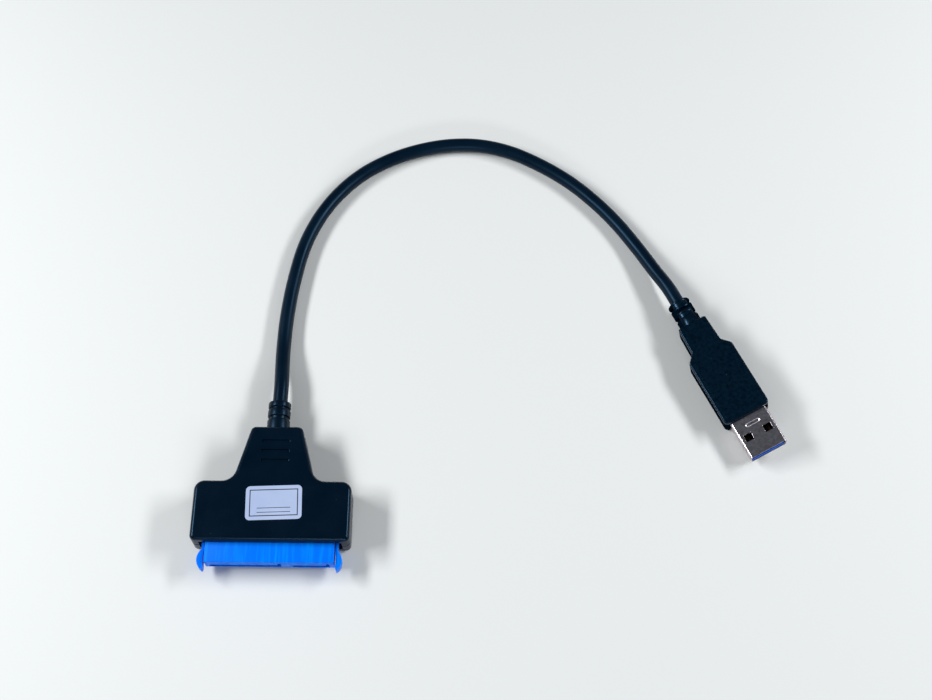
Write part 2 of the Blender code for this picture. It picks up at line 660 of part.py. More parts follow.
def turned(profile, sides=TURNED_SIDES):
    """A solid of revolution about Y: profile lists (y, radius) from front to back, closed on the axis."""
    shape = bmesh.new()
    rings = []
    for y, radius in profile:
        ring = [shape.verts.new((x, y, z)) for x, z in circle_points(radius, 0, 0, sides)]
        rings.append(ring)
    for near, far in zip(rings, rings[1:]):
        for i in range(sides):
            j = (i + 1) % sides
            shape.faces.new((near[i], near[j], far[j], far[i]))
    shape.faces.new(rings[0][::-1])
    shape.faces.new(rings[-1])
    return shape


def make_strain_relief(material):
    """The ribbed sleeve on the head, with a neck in the end wall and a flange inside it."""
    radius = RELIEF_DIAMETER / 2
    neck = RELIEF_NECK_DIAMETER / 2
    flange = RELIEF_FLANGE_DIAMETER / 2
    edge = RELIEF_EDGE
    start = RELIEF_START
    outside = HEAD_DEPTH + GAP
    profile = [
        (start, flange - edge), (start + edge, flange),
        (start + RELIEF_FLANGE_LENGTH - edge, flange), (start + RELIEF_FLANGE_LENGTH, flange - edge),
        (start + RELIEF_FLANGE_LENGTH, neck), (outside, neck), (outside, radius - edge),
        (outside + edge, radius),
    ]
    y = RELIEF_END - sum(RELIEF_RINGS) - sum(RING_GROOVE_WIDTHS)
    low = radius - RING_GROOVE_DEPTH
    for length, groove in zip(reversed(RELIEF_RINGS), reversed(RING_GROOVE_WIDTHS)):
        profile += [(y, radius), (y, low), (y + groove, low), (y + groove, radius)]
        y += groove + length
    profile += [(RELIEF_END - edge, radius), (RELIEF_END, radius - edge)]
    sleeve = add_piece("strain_relief", mesh_from(turned(profile)), material)
    sleeve.location = (RELIEF_X, FRONT, MIDDLE)
    shade(sleeve)


def smooth_curve(points, spacing, steps=40):
    """Evenly spaced points on the smooth (Catmull-Rom) curve through a list of points."""
    ends = [2 * points[0] - points[1]] + list(points) + [2 * points[-1] - points[-2]]
    fine = []
    for a, b, c, d in zip(ends, ends[1:], ends[2:], ends[3:]):
        for i in range(steps):
            t = i / steps
            fine.append(0.5 * (2 * b + (c - a) * t + (2 * a - 5 * b + 4 * c - d) * t ** 2
                               + (3 * b - a - 3 * c + d) * t ** 3))
    fine.append(Vector(points[-1]))
    lengths = [0.0]
    for p, q in zip(fine, fine[1:]):
        lengths.append(lengths[-1] + (q - p).length)
    count = max(1, round(lengths[-1] / spacing))
    picked, i = [], 0
    for step in range(count + 1):
        wanted = lengths[-1] * step / count
        while i < len(fine) - 2 and lengths[i + 1] < wanted:
            i += 1
        share = (wanted - lengths[i]) / (lengths[i + 1] - lengths[i])
        picked.append(fine[i].lerp(fine[i + 1], share))
    return picked


def add_tube(name, points, diameter, material, resolution=2):
    """A round cord along points, as a bevelled curve with filled caps."""
    curve = bpy.data.curves.new(name, "CURVE")
    curve.dimensions = "3D"
    curve.bevel_depth = diameter / 2
    curve.bevel_resolution = resolution
    curve.use_fill_caps = True
    spline = curve.splines.new("POLY")
    spline.points.add(len(points) - 1)
    for place, point in zip(spline.points, points):
        place.co = (*point, 1.0)
    curve.materials.append(material)
    tube = bpy.data.objects.new(name, curve)
    parts.objects.link(tube)
    return tube


def plug_point(x, y, z):
    """A point in the plug's upright middle plane (from the grip's front face, cable towards +Y)."""
    return Matrix.Rotation(PLUG_TURN, 3, "Z") @ Vector((x, y, z)) + Vector((PLUG_X, PLUG_Y, 0))


def make_cable(material):
    """The jacket from the strain relief on the head to the one on the plug, lying on the surface."""
    start = Vector((RELIEF_X, FRONT + RELIEF_END + GAP, MIDDLE))
    end = plug_point(0, PLUG_END + GAP, PLUG_AXIS)
    route = [start, start + Vector((0, CABLE_STRAIGHT, -CABLE_DIP))]
    route += CABLE_ROUTE
    route += [plug_point(0, PLUG_END + CABLE_STRAIGHT, PLUG_AXIS - CABLE_DIP), end]
    points = smooth_curve(route, 2 * CABLE_DIAMETER)
    for point in points:
        point.z = max(point.z, CABLE_LIE)
    add_tube("cable", points, CABLE_DIAMETER, material)


def make_wires(materials):
    """Eight insulated cores from the cable's end to pads on both faces of the board."""
    start_y = FRONT + RELIEF_START - GAP
    end_y = FRONT + BOARD_BACK - WIRE_LANDING
    offset = SEAT_GAP + WIRE_DIAMETER / 2
    sides = ((1, BOARD_TOP + offset), (-1, BOARD_BOTTOM - offset))
    number = 0
    for side, landing in sides:
        for i in range(WIRE_COLUMNS):
            column = i - (WIRE_COLUMNS - 1) / 2
            start = Vector((RELIEF_X + column * WIRE_PITCH_AT_CABLE, start_y,
                            MIDDLE + side * WIRE_RISE_AT_CABLE))
            end = Vector((column * WIRE_PITCH_AT_BOARD, end_y, landing))
            points = []
            for step in range(WIRE_STEPS + 1):
                along = step / WIRE_STEPS
                ease = min(1.0, along * WIRE_EARLY)
                ease = ease * ease * (3 - 2 * ease)
                points.append(Vector((start.x + (end.x - start.x) * ease,
                                      start.y + (end.y - start.y) * along,
                                      start.z + (end.z - start.z) * ease)))
            number += 1
            add_tube(f"wire_{number}", points, WIRE_DIAMETER, materials[number - 1], 1)


def grip_outline():
    """The grip seen from above, cable end towards +Y."""
    half = [
        (GRIP_FRONT_WIDTH / 2, 0, GRIP_CORNER),
        (GRIP_BULGE_WIDTH / 2, GRIP_BULGE, GRIP_CORNER),
        (GRIP_WAIST_WIDTH / 2, GRIP_WAIST, GRIP_CORNER),
        (GRIP_REAR_WIDTH / 2, GRIP_LENGTH, GRIP_CORNER / 2),
    ]
    return rounded_outline(mirrored(half), steps=4)


def on_plug(piece, frame):
    """Hang a piece on the plug's frame, whose origin is on the plug's axis."""
    piece.parent = frame
    return piece


def make_grip(material, frame):
    """One moulding: the grip, its side ribs, and the slotted strain relief behind it."""
    half = GRIP_HEIGHT / 2
    shape = prism(grip_outline(), -half, half)
    round_rim(shape, half, GRIP_RIM, 3)
    round_rim(shape, -half, GRIP_RIM, 3)
    grip = add_piece("plug_grip", mesh_from(shape), material)
    radius = TAIL_DIAMETER / 2
    rear = PLUG_END
    profile = [(GRIP_LENGTH - THROUGH, radius), (rear - TAIL_EDGE, radius), (rear, radius - TAIL_EDGE)]
    tail = add_piece("tail", mesh_from(turned(profile)), material)
    cuts = []
    for i in range(TAIL_SLOTS):
        far = rear - TAIL_DISC - i * (TAIL_DISC + TAIL_SLOT)
        near = far - TAIL_SLOT
        core = TAIL_CORE / 2
        wide = TAIL_DIAMETER
        for side in (-1, 1):
            low, high = sorted((side * core, side * wide))
            if i % 2:
                cuts.append(box((-wide, near, low), (wide, far, high)))
            else:
                cuts.append(box((low, near, -wide), (high, far, wide)))
    combine(tail, [joined(cuts)], "DIFFERENCE")
    add = bmesh.new()
    add.from_mesh(tail.data)
    bpy.data.objects.remove(tail, do_unlink=True)
    combine(grip, [add], "UNION")
    pocket = rounded_outline(rectangle(SHELL_WIDTH, SHELL_HEIGHT, SHELL_CORNER), -GAP, 3)
    combine(grip, [turn_to_face(prism(pocket, -THROUGH, SHELL_BURIED + GAP), "Y")], "DIFFERENCE")
    ribs = []
    for i in range(GRIP_RIBS):
        y = GRIP_RIB_START + i * GRIP_RIB_PITCH
        slope = (GRIP_FRONT_WIDTH - GRIP_BULGE_WIDTH) / 2 * y / GRIP_BULGE
        face = GRIP_FRONT_WIDTH / 2 - slope
        tall = half - 2 * GRIP_RIM
        for side in (-1, 1):
            low, high = sorted((side * (face - GRIP_RIB_DEPTH), side * (face + THROUGH)))
            ribs.append(box((low, y, -tall), (high, y + GRIP_RIB_PITCH / 2, tall)))
    combine(grip, [joined(ribs)], "DIFFERENCE")
    shade(on_plug(grip, frame))


def make_plug_shell(material, frame):
    """The folded sheet tube with two latch windows above and below and a stamped lance."""
    corners = rectangle(SHELL_WIDTH, SHELL_HEIGHT, SHELL_CORNER)
    outer = turn_to_face(prism(rounded_outline(corners, steps=4), -SHELL_REACH, SHELL_BURIED), "Y")
    shell = add_piece("plug_shell", mesh_from(outer), material)
    inner = prism(rounded_outline(corners, SHELL_WALL, 4), -SHELL_REACH - THROUGH,
                  SHELL_BURIED + THROUGH)
    combine(shell, [turn_to_face(inner, "Y")], "DIFFERENCE")
    windows = [
        box((x - WINDOW_WIDTH / 2, -WINDOW_FROM_GRIP - WINDOW_LENGTH / 2, -SHELL_HEIGHT),
            (x + WINDOW_WIDTH / 2, -WINDOW_FROM_GRIP + WINDOW_LENGTH / 2, SHELL_HEIGHT))
        for x in (-WINDOW_SPREAD / 2, WINDOW_SPREAD / 2)
    ]
    combine(shell, [joined(windows)], "DIFFERENCE")
    lance = rounded_outline(
        rectangle(LANCE_LENGTH, LANCE_WIDTH, LANCE_WIDTH / 2, 0, -LANCE_FROM_GRIP), steps=4)
    top = SHELL_HEIGHT / 2
    combine(shell, [prism(lance, top - LANCE_DEPTH, top + THROUGH)], "DIFFERENCE")
    shade(on_plug(shell, frame))


def make_plug_insert(material, contact_material, frame):
    """The blue insert: a root block in the shell and a tongue that carries nine contacts."""
    clear = SHELL_WALL + SEAT_GAP
    half = SHELL_WIDTH / 2 - clear
    low, high = -SHELL_HEIGHT / 2 + clear, SHELL_HEIGHT / 2 - clear
    tip = -SHELL_REACH + TONGUE_SETBACK
    inset = SHELL_CORNER / 2
    root = turn_to_face(prism(rounded_outline(
        [(half, low, inset), (half, high, inset), (-half, high, inset), (-half, low, inset)],
        steps=2), -TONGUE_ROOT, SHELL_BURIED), "Y")
    insert = add_piece("plug_insert", mesh_from(root), material)
    outline = [(half, low, inset), (half, TONGUE_TOP, 0), (-half, TONGUE_TOP, 0),
               (-half, low, inset)]
    tongue = turn_to_face(prism(rounded_outline(outline, steps=2), tip, SHELL_BURIED / 2), "Y")
    combine(insert, [tongue], "UNION")
    shade(on_plug(insert, frame))
    thick = CONTACT_THICKNESS
    seat = TONGUE_TOP + SEAT_GAP
    near = tip + FLAT_CONTACT_SETBACK
    flat = box((-FLAT_CONTACT_WIDTH / 2, near, seat),
               (FLAT_CONTACT_WIDTH / 2, near + FLAT_CONTACT_LENGTH, seat + thick))
    flat_mesh = mesh_from(flat, "flat_contact")
    for i, x in enumerate(FLAT_CONTACT_X):
        contact = on_plug(add_piece(f"usb_contact_{i + 1}", flat_mesh, contact_material), frame)
        contact.location.x = x
    start = -TONGUE_ROOT - GAP - RAISED_CONTACT_LENGTH
    level = seat + thick / 2
    rise = RAISED_CONTACT_CROWN
    shares = [i / RAISED_CONTACT_STEPS for i in range(RAISED_CONTACT_STEPS + 1)]
    line = [(start + RAISED_CONTACT_LENGTH * share, level + rise * sin(pi * share) ** 2)
            for share in shares]
    raised_mesh = mesh_from(strip(line, thick, RAISED_CONTACT_WIDTH), "raised_contact")
    for i in range(RAISED_CONTACTS):
        contact = on_plug(add_piece(f"superspeed_contact_{i + 1}", raised_mesh, contact_material),
                          frame)
        contact.location.x = (i - (RAISED_CONTACTS - 1) / 2) * RAISED_CONTACT_PITCH


def make_plug(black, steel, blue, brass):
    """The plug, leaning on one lower edge of its grip as the stiff cable leaves it."""
    frame = bpy.data.objects.new("plug_frame", None)
    frame.location = (PLUG_X, PLUG_Y, PLUG_AXIS)
    frame.rotation_euler = (0, -PLUG_ROLL, PLUG_TURN)
    parts.objects.link(frame)
    make_grip(black, frame)
    make_plug_shell(steel, frame)
    make_plug_insert(blue, brass, frame)


def main():
    start_scene()
    make_lower_shell(finish("lower_shell_black", (0.006, 0.010, 0.014), 0.38))
    make_upper_shell(finish("upper_shell_black", (0.006, 0.011, 0.016), 0.36))
    make_receptacle(finish("receptacle_blue", (0.0, 0.16, 0.90), 0.35))
    make_contacts(finish("contact_gold", (0.83, 0.62, 0.26), 0.30, 1.0))
    packages = {
        "bridge": finish("chip_black", (0.02, 0.02, 0.022), 0.5),
        "crystal": finish("crystal_can", (0.72, 0.72, 0.70), 0.3, 1.0),
        "flash": finish("flash_black", (0.025, 0.025, 0.028), 0.5),
        "regulator": finish("regulator_black", (0.022, 0.022, 0.025), 0.5),
        "inductor": finish("inductor_grey", (0.12, 0.12, 0.13), 0.6),
        "capacitor": finish("capacitor_tan", (0.45, 0.33, 0.20), 0.5),
    }
    make_board(finish("board_green", (0.01, 0.16, 0.06), 0.35), packages)
    make_label(finish("label_white", (0.60, 0.64, 0.78), 0.5))
    make_strain_relief(finish("relief_black", (0.007, 0.010, 0.014), 0.45))
    make_cable(finish("cable_black", (0.010, 0.016, 0.026), 0.42))
    colours = ((0.5, 0.02, 0.02), (0.6, 0.6, 0.6), (0.03, 0.3, 0.06), (0.02, 0.02, 0.02),
               (0.03, 0.1, 0.5), (0.6, 0.5, 0.05), (0.3, 0.05, 0.4), (0.6, 0.2, 0.03))
    make_wires([finish(f"core_{i + 1}", colour, 0.4) for i, colour in enumerate(colours)])
    make_plug(
        finish("grip_black", (0.006, 0.012, 0.018), 0.45),
        finish("shell_steel", (0.55, 0.53, 0.52), 0.3, 1.0),
        finish("insert_blue", (0.01, 0.09, 0.55), 0.35),
        finish("plug_gold", (0.83, 0.62, 0.26), 0.3, 1.0),
    )


main()
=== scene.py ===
"""Looks of a USB to SATA adapter: a flat black head with a blue SATA receptacle, a short round
cable and an overmoulded USB plug, lying on a pale table. Every size is in metres, in the CAD's
frame.
"""

import bmesh
import bpy
import numpy as np
from mathutils import Matrix, Vector


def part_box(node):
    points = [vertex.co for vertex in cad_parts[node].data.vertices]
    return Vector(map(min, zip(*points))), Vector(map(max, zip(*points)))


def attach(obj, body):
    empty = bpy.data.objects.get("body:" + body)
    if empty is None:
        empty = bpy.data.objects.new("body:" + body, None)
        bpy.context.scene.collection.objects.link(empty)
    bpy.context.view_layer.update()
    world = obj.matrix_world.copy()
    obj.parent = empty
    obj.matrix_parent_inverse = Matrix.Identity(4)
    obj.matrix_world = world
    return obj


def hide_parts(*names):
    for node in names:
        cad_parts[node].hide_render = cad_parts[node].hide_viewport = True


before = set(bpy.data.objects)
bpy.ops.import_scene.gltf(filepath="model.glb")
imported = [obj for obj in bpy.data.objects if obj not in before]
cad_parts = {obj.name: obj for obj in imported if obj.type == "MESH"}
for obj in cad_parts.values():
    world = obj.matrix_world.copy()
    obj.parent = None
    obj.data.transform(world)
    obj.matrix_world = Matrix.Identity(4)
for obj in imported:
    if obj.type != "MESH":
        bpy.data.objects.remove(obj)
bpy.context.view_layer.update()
mm = 0.001

# Camera. The photograph was taken from above and in front of the head, by hand, with a normal
# lens. Its place was found from the receptacle's and the USB shell's standard widths.
CAMERA_PLACE = np.array([54.237, -138.744, 382.506]) * mm
CAMERA_LOOK = np.array([0.00445609, 0.43834783, -0.89879437])
CAMERA_RIGHT = np.array([0.99993, 0.00801, 0.00886])
CAMERA_LENS = 52.15


def unit(vectors):
    """Vectors along the last axis, each divided by its length."""
    return vectors / np.maximum(np.linalg.norm(vectors, axis=-1, keepdims=True), 1e-12)


back = unit(-CAMERA_LOOK)
right = unit(CAMERA_RIGHT - back * (CAMERA_RIGHT @ back))
turn = np.eye(4)
turn[:3] = np.stack([right, np.cross(back, right), back, CAMERA_PLACE], 1)
camera = bpy.data.objects.new("camera", bpy.data.cameras.new("camera"))
camera.data.lens = CAMERA_LENS
camera.data.sensor_width = 36
camera.data.clip_start, camera.data.clip_end = 0.01, 20
camera.matrix_world = Matrix(turn.tolist())
bpy.context.scene.collection.objects.link(camera)
bpy.context.scene.camera = camera

# Bottom cover. The lower half of the head's case, moulded in black ABS with a fine spark texture;
# its lip stands inside the upper half, and the board rests on its posts.
CASE = [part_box("lower_shell")[0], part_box("upper_shell")[1]]
CASE_WIDTH, CASE_HEIGHT = CASE[1].x - CASE[0].x, CASE[1].z
FRONT, NECK_END = CASE[0].y, CASE[1].y
MIDDLE = CASE_HEIGHT / 2
SHOULDER = FRONT + 18.25 * mm
NECK_ROOT_WIDTH, NECK_END_WIDTH = 24.1 * mm, 15.0 * mm
FRONT_CORNER, SHOULDER_CORNER, NECK_FILLET, NECK_CORNER = 1.5 * mm, 3.0 * mm, 4.2 * mm, 1.7 * mm
RIM = 1.3 * mm
WALL, FLAT = 1.5 * mm, 1.4 * mm
SEAM_GAP = 0.25 * mm
LIP_THICKNESS, LIP_HEIGHT = 0.55 * mm, 0.9 * mm
EDGE = 0.12 * mm
MOUTH_HALF_WIDTH, MOUTH_HALF_HEIGHT = 20.675 * mm, 2.7 * mm
NECK_HOLE_X, NECK_HOLE = -0.35 * mm, 2.95 * mm
CORNER_STEPS, RIM_STEPS = 12, 8
CLOSE = 1e-6


def arc_loop(corners, edge_points, steps=CORNER_STEPS):
    """A closed outline with round corners: each corner (x, y, radius) becomes an arc about the
    centre that lies radius away from both its sides, and edge_points gives more points for the
    side that follows a corner. Returns the points and the outward normals."""
    points, normals = [], []
    flat = np.array([c[:2] for c in corners])
    for i, (x, y, radius) in enumerate(corners):
        before = unit(flat[i] - flat[i - 1])
        after = unit(flat[(i + 1) % len(flat)] - flat[i])
        bend = before[0] * after[1] - before[1] * after[0]
        angle = np.arctan2(bend, before @ after)
        side = np.sign(bend)
        normal = np.array([before[1], -before[0]])
        centre = flat[i] - before * radius * np.tan(abs(angle) / 2) - normal * radius * side
        turned = np.linspace(0, angle, steps + 1)
        around = np.stack([np.cos(turned) * normal[0] - np.sin(turned) * normal[1],
                           np.sin(turned) * normal[0] + np.cos(turned) * normal[1]], 1)
        points.append(centre + around * radius * side)
        normals.append(around)
        more = np.array(edge_points.get(i, np.zeros((0, 2)))).reshape(-1, 2)
        points.append(more)
        normals.append(np.repeat(around[-1:], len(more), 0))
    return np.concatenate(points), np.concatenate(normals)


def piece(name, grids, material, body="root", flats=(), sharp=40):
    """A mesh of closed grids (rows, columns, 3), each a surface of two parameters whose last column
    meets its first. Shared points are welded, ends left open are capped flat, and an opening that
    lies at one of the heights in flats is filled together with the holes in it."""
    mesh = bpy.data.meshes.new(name)
    points, faces, start = [], [], 0
    for grid in grids:
        rows, columns = grid.shape[:2]
        index = start + np.arange(rows * columns).reshape(rows, columns)
        beside = np.roll(index, -1, axis=1)
        faces.append(np.stack([index[:-1], beside[:-1], beside[1:], index[1:]], -1).reshape(-1, 4))
        points.append(grid.reshape(-1, 3))
        start += rows * columns
    mesh.from_pydata(np.concatenate(points).tolist(), [], np.concatenate(faces).tolist())
    shape = bmesh.new()
    shape.from_mesh(mesh)
    bmesh.ops.remove_doubles(shape, verts=shape.verts, dist=CLOSE)
    for height in flats:
        rim = [e for e in shape.edges
               if e.is_boundary and all(abs(v.co.z - height) < CLOSE for v in e.verts)]
        bmesh.ops.triangle_fill(shape, edges=rim, use_beauty=True, normal=(0, 0, 1))
    bmesh.ops.holes_fill(shape, edges=[e for e in shape.edges if e.is_boundary], sides=0)
    bmesh.ops.recalc_face_normals(shape, faces=shape.faces)
    shape.to_mesh(mesh)
    shape.free()
    mesh.shade_smooth()
    mesh.set_sharp_from_angle(angle=np.radians(sharp))
    mesh.materials.append(material)
    thing = bpy.data.objects.new(name, mesh)
    bpy.context.scene.collection.objects.link(thing)
    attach(thing, body)
    return thing


MIX_UNDER, MIX_OVER, MIX_RESULT = 6, 7, 2      # sockets of a mix node that mixes colours
MIX_FIRST, MIX_SECOND = 2, 3                   # sockets of one that mixes numbers


def wire_up(tree, source, target, output=0):
    """A link from a node's output to a socket."""
    tree.links.new(source.outputs[output], target)


def add_node(tree, kind, values=None, **settings):
    """A shader node with its settings and the values of its inputs."""
    node = tree.nodes.new(kind)
    for key, value in settings.items():
        setattr(node, key, value)
    for key, value in (values or {}).items():
        node.inputs[key].default_value = value
    return node


def maths(tree, operation, *terms):
    """The output of a math node whose terms are sockets or numbers."""
    node = add_node(tree, "ShaderNodeMath", operation=operation)
    for socket, term in zip(node.inputs, terms):
        if isinstance(term, (int, float)):
            socket.default_value = term
        else:
            tree.links.new(term, socket)
    return node.outputs[0]


def ramp(tree, value, low, high, start=0.0, end=1.0):
    """The output of a node that maps low..high to start..end and holds both ends."""
    node = add_node(tree, "ShaderNodeMapRange", {"From Min": low, "From Max": high,
                                                 "To Min": start, "To Max": end})
    tree.links.new(value, node.inputs["Value"])
    return node.outputs[0]


def laid_over(tree, mask, colour):
    """Mix a colour or a colour socket over what feeds the shader's base colour, by a mask that is a
    socket or a number."""
    base = tree.nodes["Principled BSDF"].inputs["Base Color"]
    mix = add_node(tree, "ShaderNodeMix", data_type="RGBA")
    tree.links.new(base.links[0].from_socket, mix.inputs[MIX_UNDER])
    for socket, value in ((mix.inputs[0], mask), (mix.inputs[MIX_OVER], colour)):
        if isinstance(value, (float, tuple)):
            socket.default_value = value
        else:
            tree.links.new(value, socket)
    tree.links.new(mix.outputs[MIX_RESULT], base)


def grain_group():
    """Moulded grain: fine noise for the spark texture of the mould, broad clouds for handling marks
    and sparse round dots for settled dust."""
    group = bpy.data.node_groups.new("moulded_grain", "ShaderNodeTree")
    for name, value in (("Grain", 5200.0), ("Clouds", 90.0), ("Dust", 420.0)):
        socket = group.interface.new_socket(name, in_out="INPUT", socket_type="NodeSocketFloat")
        socket.default_value = value
    for name in ("Height", "Clouding", "Dust"):
        group.interface.new_socket(name, in_out="OUTPUT", socket_type="NodeSocketFloat")
    inside, outside = group.nodes.new("NodeGroupInput"), group.nodes.new("NodeGroupOutput")
    place = group.nodes.new("ShaderNodeTexCoord")
    grain = add_node(group, "ShaderNodeTexNoise", {"Detail": 2.0, "Roughness": 0.6})
    clouds = add_node(group, "ShaderNodeTexNoise",
                      {"Detail": 4.0, "Roughness": 0.55, "Distortion": 0.4})
    dots = add_node(group, "ShaderNodeTexVoronoi", {"Randomness": 1.0}, feature="F1")
    chance = group.nodes.new("ShaderNodeTexNoise")
    for node, size in ((grain, "Grain"), (clouds, "Clouds"), (dots, "Dust"), (chance, "Clouds")):
        wire_up(group, place, node.inputs["Vector"], "Object")
        wire_up(group, inside, node.inputs["Scale"], size)
    near = ramp(group, dots.outputs[0], 0.05, 0.02)
    rare = ramp(group, chance.outputs[0], 0.55, 0.62)
    wire_up(group, grain, outside.inputs["Height"])
    group.links.new(ramp(group, clouds.outputs[0], 0.3, 0.7), outside.inputs["Clouding"])
    group.links.new(maths(group, "MULTIPLY", near, rare), outside.inputs["Dust"])
    return group


moulded_grain = grain_group()
SOCKETS = {"metallic": "Metallic", "specular": "Specular IOR Level", "tint": "Specular Tint"}
COOL = (0.30, 0.62, 1.0, 1.0)
DUST_GREY = (0.45, 0.43, 0.40, 1.0)
GRAIN_HEIGHT = 0.05 * mm


def moulded(name, colour, worn, roughness, grain=5200.0, depth=0.1, dust=0.0, clouds=90.0,
            **sockets):
    """Moulded plastic or rubber: its colour drifts towards the worn one in clouds, its gloss drifts
    with it between two roughnesses, dust lies in dots, and a fine grain raises its surface."""
    material = bpy.data.materials.new(name)
    material.use_nodes = True
    tree = material.node_tree
    shader = tree.nodes["Principled BSDF"]
    for key, value in sockets.items():
        shader.inputs[SOCKETS[key]].default_value = value
    marks = add_node(tree, "ShaderNodeGroup", node_tree=moulded_grain)
    marks.inputs["Grain"].default_value = grain
    marks.inputs["Clouds"].default_value = clouds
    clouding = marks.outputs["Clouding"]
    drift = add_node(tree, "ShaderNodeMix", {MIX_UNDER: (*colour, 1), MIX_OVER: (*worn, 1)},
                     data_type="RGBA")
    tree.links.new(clouding, drift.inputs[0])
    wire_up(tree, drift, shader.inputs["Base Color"], MIX_RESULT)
    laid_over(tree, maths(tree, "MULTIPLY", marks.outputs["Dust"], dust), DUST_GREY)
    tree.links.new(ramp(tree, clouding, 0.0, 1.0, *roughness), shader.inputs["Roughness"])
    bump = add_node(tree, "ShaderNodeBump", {"Strength": depth, "Distance": GRAIN_HEIGHT})
    wire_up(tree, marks, bump.inputs["Height"], "Height")
    wire_up(tree, bump, shader.inputs["Normal"])
    return material


case_black = moulded("case_black", (0.0004, 0.0038, 0.0100), (0.0010, 0.0056, 0.0135),
                     (0.22, 0.30), dust=0.35, specular=0.25, tint=COOL)


def case_corners():
    """Corners of the head seen from above, anticlockwise from the front right one."""
    half = [(CASE_WIDTH / 2, FRONT, FRONT_CORNER), (CASE_WIDTH / 2, SHOULDER, SHOULDER_CORNER),
            (NECK_ROOT_WIDTH / 2, SHOULDER, NECK_FILLET),
            (NECK_END_WIDTH / 2, NECK_END, NECK_CORNER)]
    return half + [(-x, y, r) for x, y, r in reversed(half)]


def case_outline():
    """The head's outline, with doubled points at the jambs of the mouth in the front side (side 7)
    and close points over the cable's hole in the neck side (side 3)."""
    hole = NECK_HOLE_X + NECK_HOLE * np.cos(np.linspace(0, np.pi, 17))
    jamb = MOUTH_HALF_WIDTH
    across = np.concatenate([[-jamb, -jamb], np.linspace(-jamb, jamb, 25)[1:-1], [jamb, jamb]])
    return arc_loop(case_corners(), {
        3: np.stack([hole, np.full(17, NECK_END)], 1),
        7: np.stack([across, np.full(len(across), FRONT)], 1)})


def wall_opening(points):
    """Half the height of the opening in the wall above each outline point: the mouth is a plain
    rectangle between its jambs, and the cable's hole is a circle."""
    x, y = points[:, 0], points[:, 1]
    front = abs(y - FRONT) < CLOSE
    inner = np.where(front)[0]
    inner = inner[abs(x[inner]) <= MOUTH_HALF_WIDTH + CLOSE]
    inner = inner[np.argsort(x[inner], kind="stable")][1:-1]
    opening = np.zeros(len(points))
    opening[inner] = MOUTH_HALF_HEIGHT
    away = np.maximum(NECK_HOLE**2 - (x - NECK_HOLE_X) ** 2, 0)
    return np.where(abs(y - NECK_END) < CLOSE, np.sqrt(away), opening)


def carried(points, normals, section, opening=None, up=1):
    """A section of (inset, height above the middle) carried round an outline. Each row is the
    outline moved inwards by the inset; the height is at least the opening's, and up=-1 turns it
    over."""
    section = np.array(section)
    flat = points[None] - normals[None] * section[:, :1, None]
    tall = np.repeat(section[:, 1:], len(points), 1)
    if opening is not None:
        tall = np.maximum(tall, opening[None])
    return np.concatenate([flat, (MIDDLE + up * tall)[..., None]], -1)


def rounded(radius, start, steps=RIM_STEPS):
    """A quarter circle from (0, start) to (radius, start + radius) as (inset, height) points."""
    a = np.linspace(0, np.pi / 2, steps + 1)
    return np.stack([radius * (1 - np.cos(a)), start + radius * np.sin(a)], 1).tolist()


def post(x, y, radius, low, high, columns=24):
    """A round post: one circle carried from one height to another."""
    a = np.linspace(0, 2 * np.pi, columns, endpoint=False)
    ring = np.stack([x + radius * np.cos(a), y + radius * np.sin(a)], 1)
    return np.stack([np.column_stack([ring, np.full(columns, z)]) for z in (low, high)])


outline, outward = case_outline()
opening = wall_opening(outline)
seam = SEAM_GAP / 2
roof = MIDDLE - FLAT
POST, PIN = 1.3 * mm, 0.6 * mm
POST_X, POST_Y = 17.425 * mm, FRONT + 13.3 * mm
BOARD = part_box("circuit_board")
CLEAR = 0.15 * mm
bottom_section = ([(WALL, roof), (WALL, seam - LIP_HEIGHT),
                   (WALL - LIP_THICKNESS, seam - LIP_HEIGHT), (WALL - LIP_THICKNESS, seam),
                   (EDGE, seam), (0, seam + EDGE)]
                  + rounded(RIM, MIDDLE - RIM) + [(RIM + EDGE / 2, MIDDLE)])
bottom_grid = carried(outline, outward, bottom_section, opening, up=-1)
bottom_posts = [post(x, POST_Y, POST, FLAT / 2, BOARD[0].z - CLEAR) for x in (-POST_X, POST_X)]
bottom_posts += [post(x, POST_Y, PIN, FLAT / 2, BOARD[1].z + 4 * CLEAR) for x in (-POST_X, POST_X)]
bottom_cover = piece("bottom_cover", [bottom_grid] + bottom_posts, case_black,
                     flats=[0.0, FLAT])
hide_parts("lower_shell")

# Top cover. The upper half of the case, in the same black ABS, snapped over the lip of the lower
# one; three shallow grooves across the neck give the fingers a hold.
GROOVES = 3
GROOVE_LENGTH, GROOVE_WIDTH, GROOVE_DEPTH = 8.4 * mm, 0.9 * mm, 0.5 * mm
GROOVE_FROM_END, GROOVE_PITCH = 4.9 * mm, 3.05 * mm
GROOVE_STEPS = 10


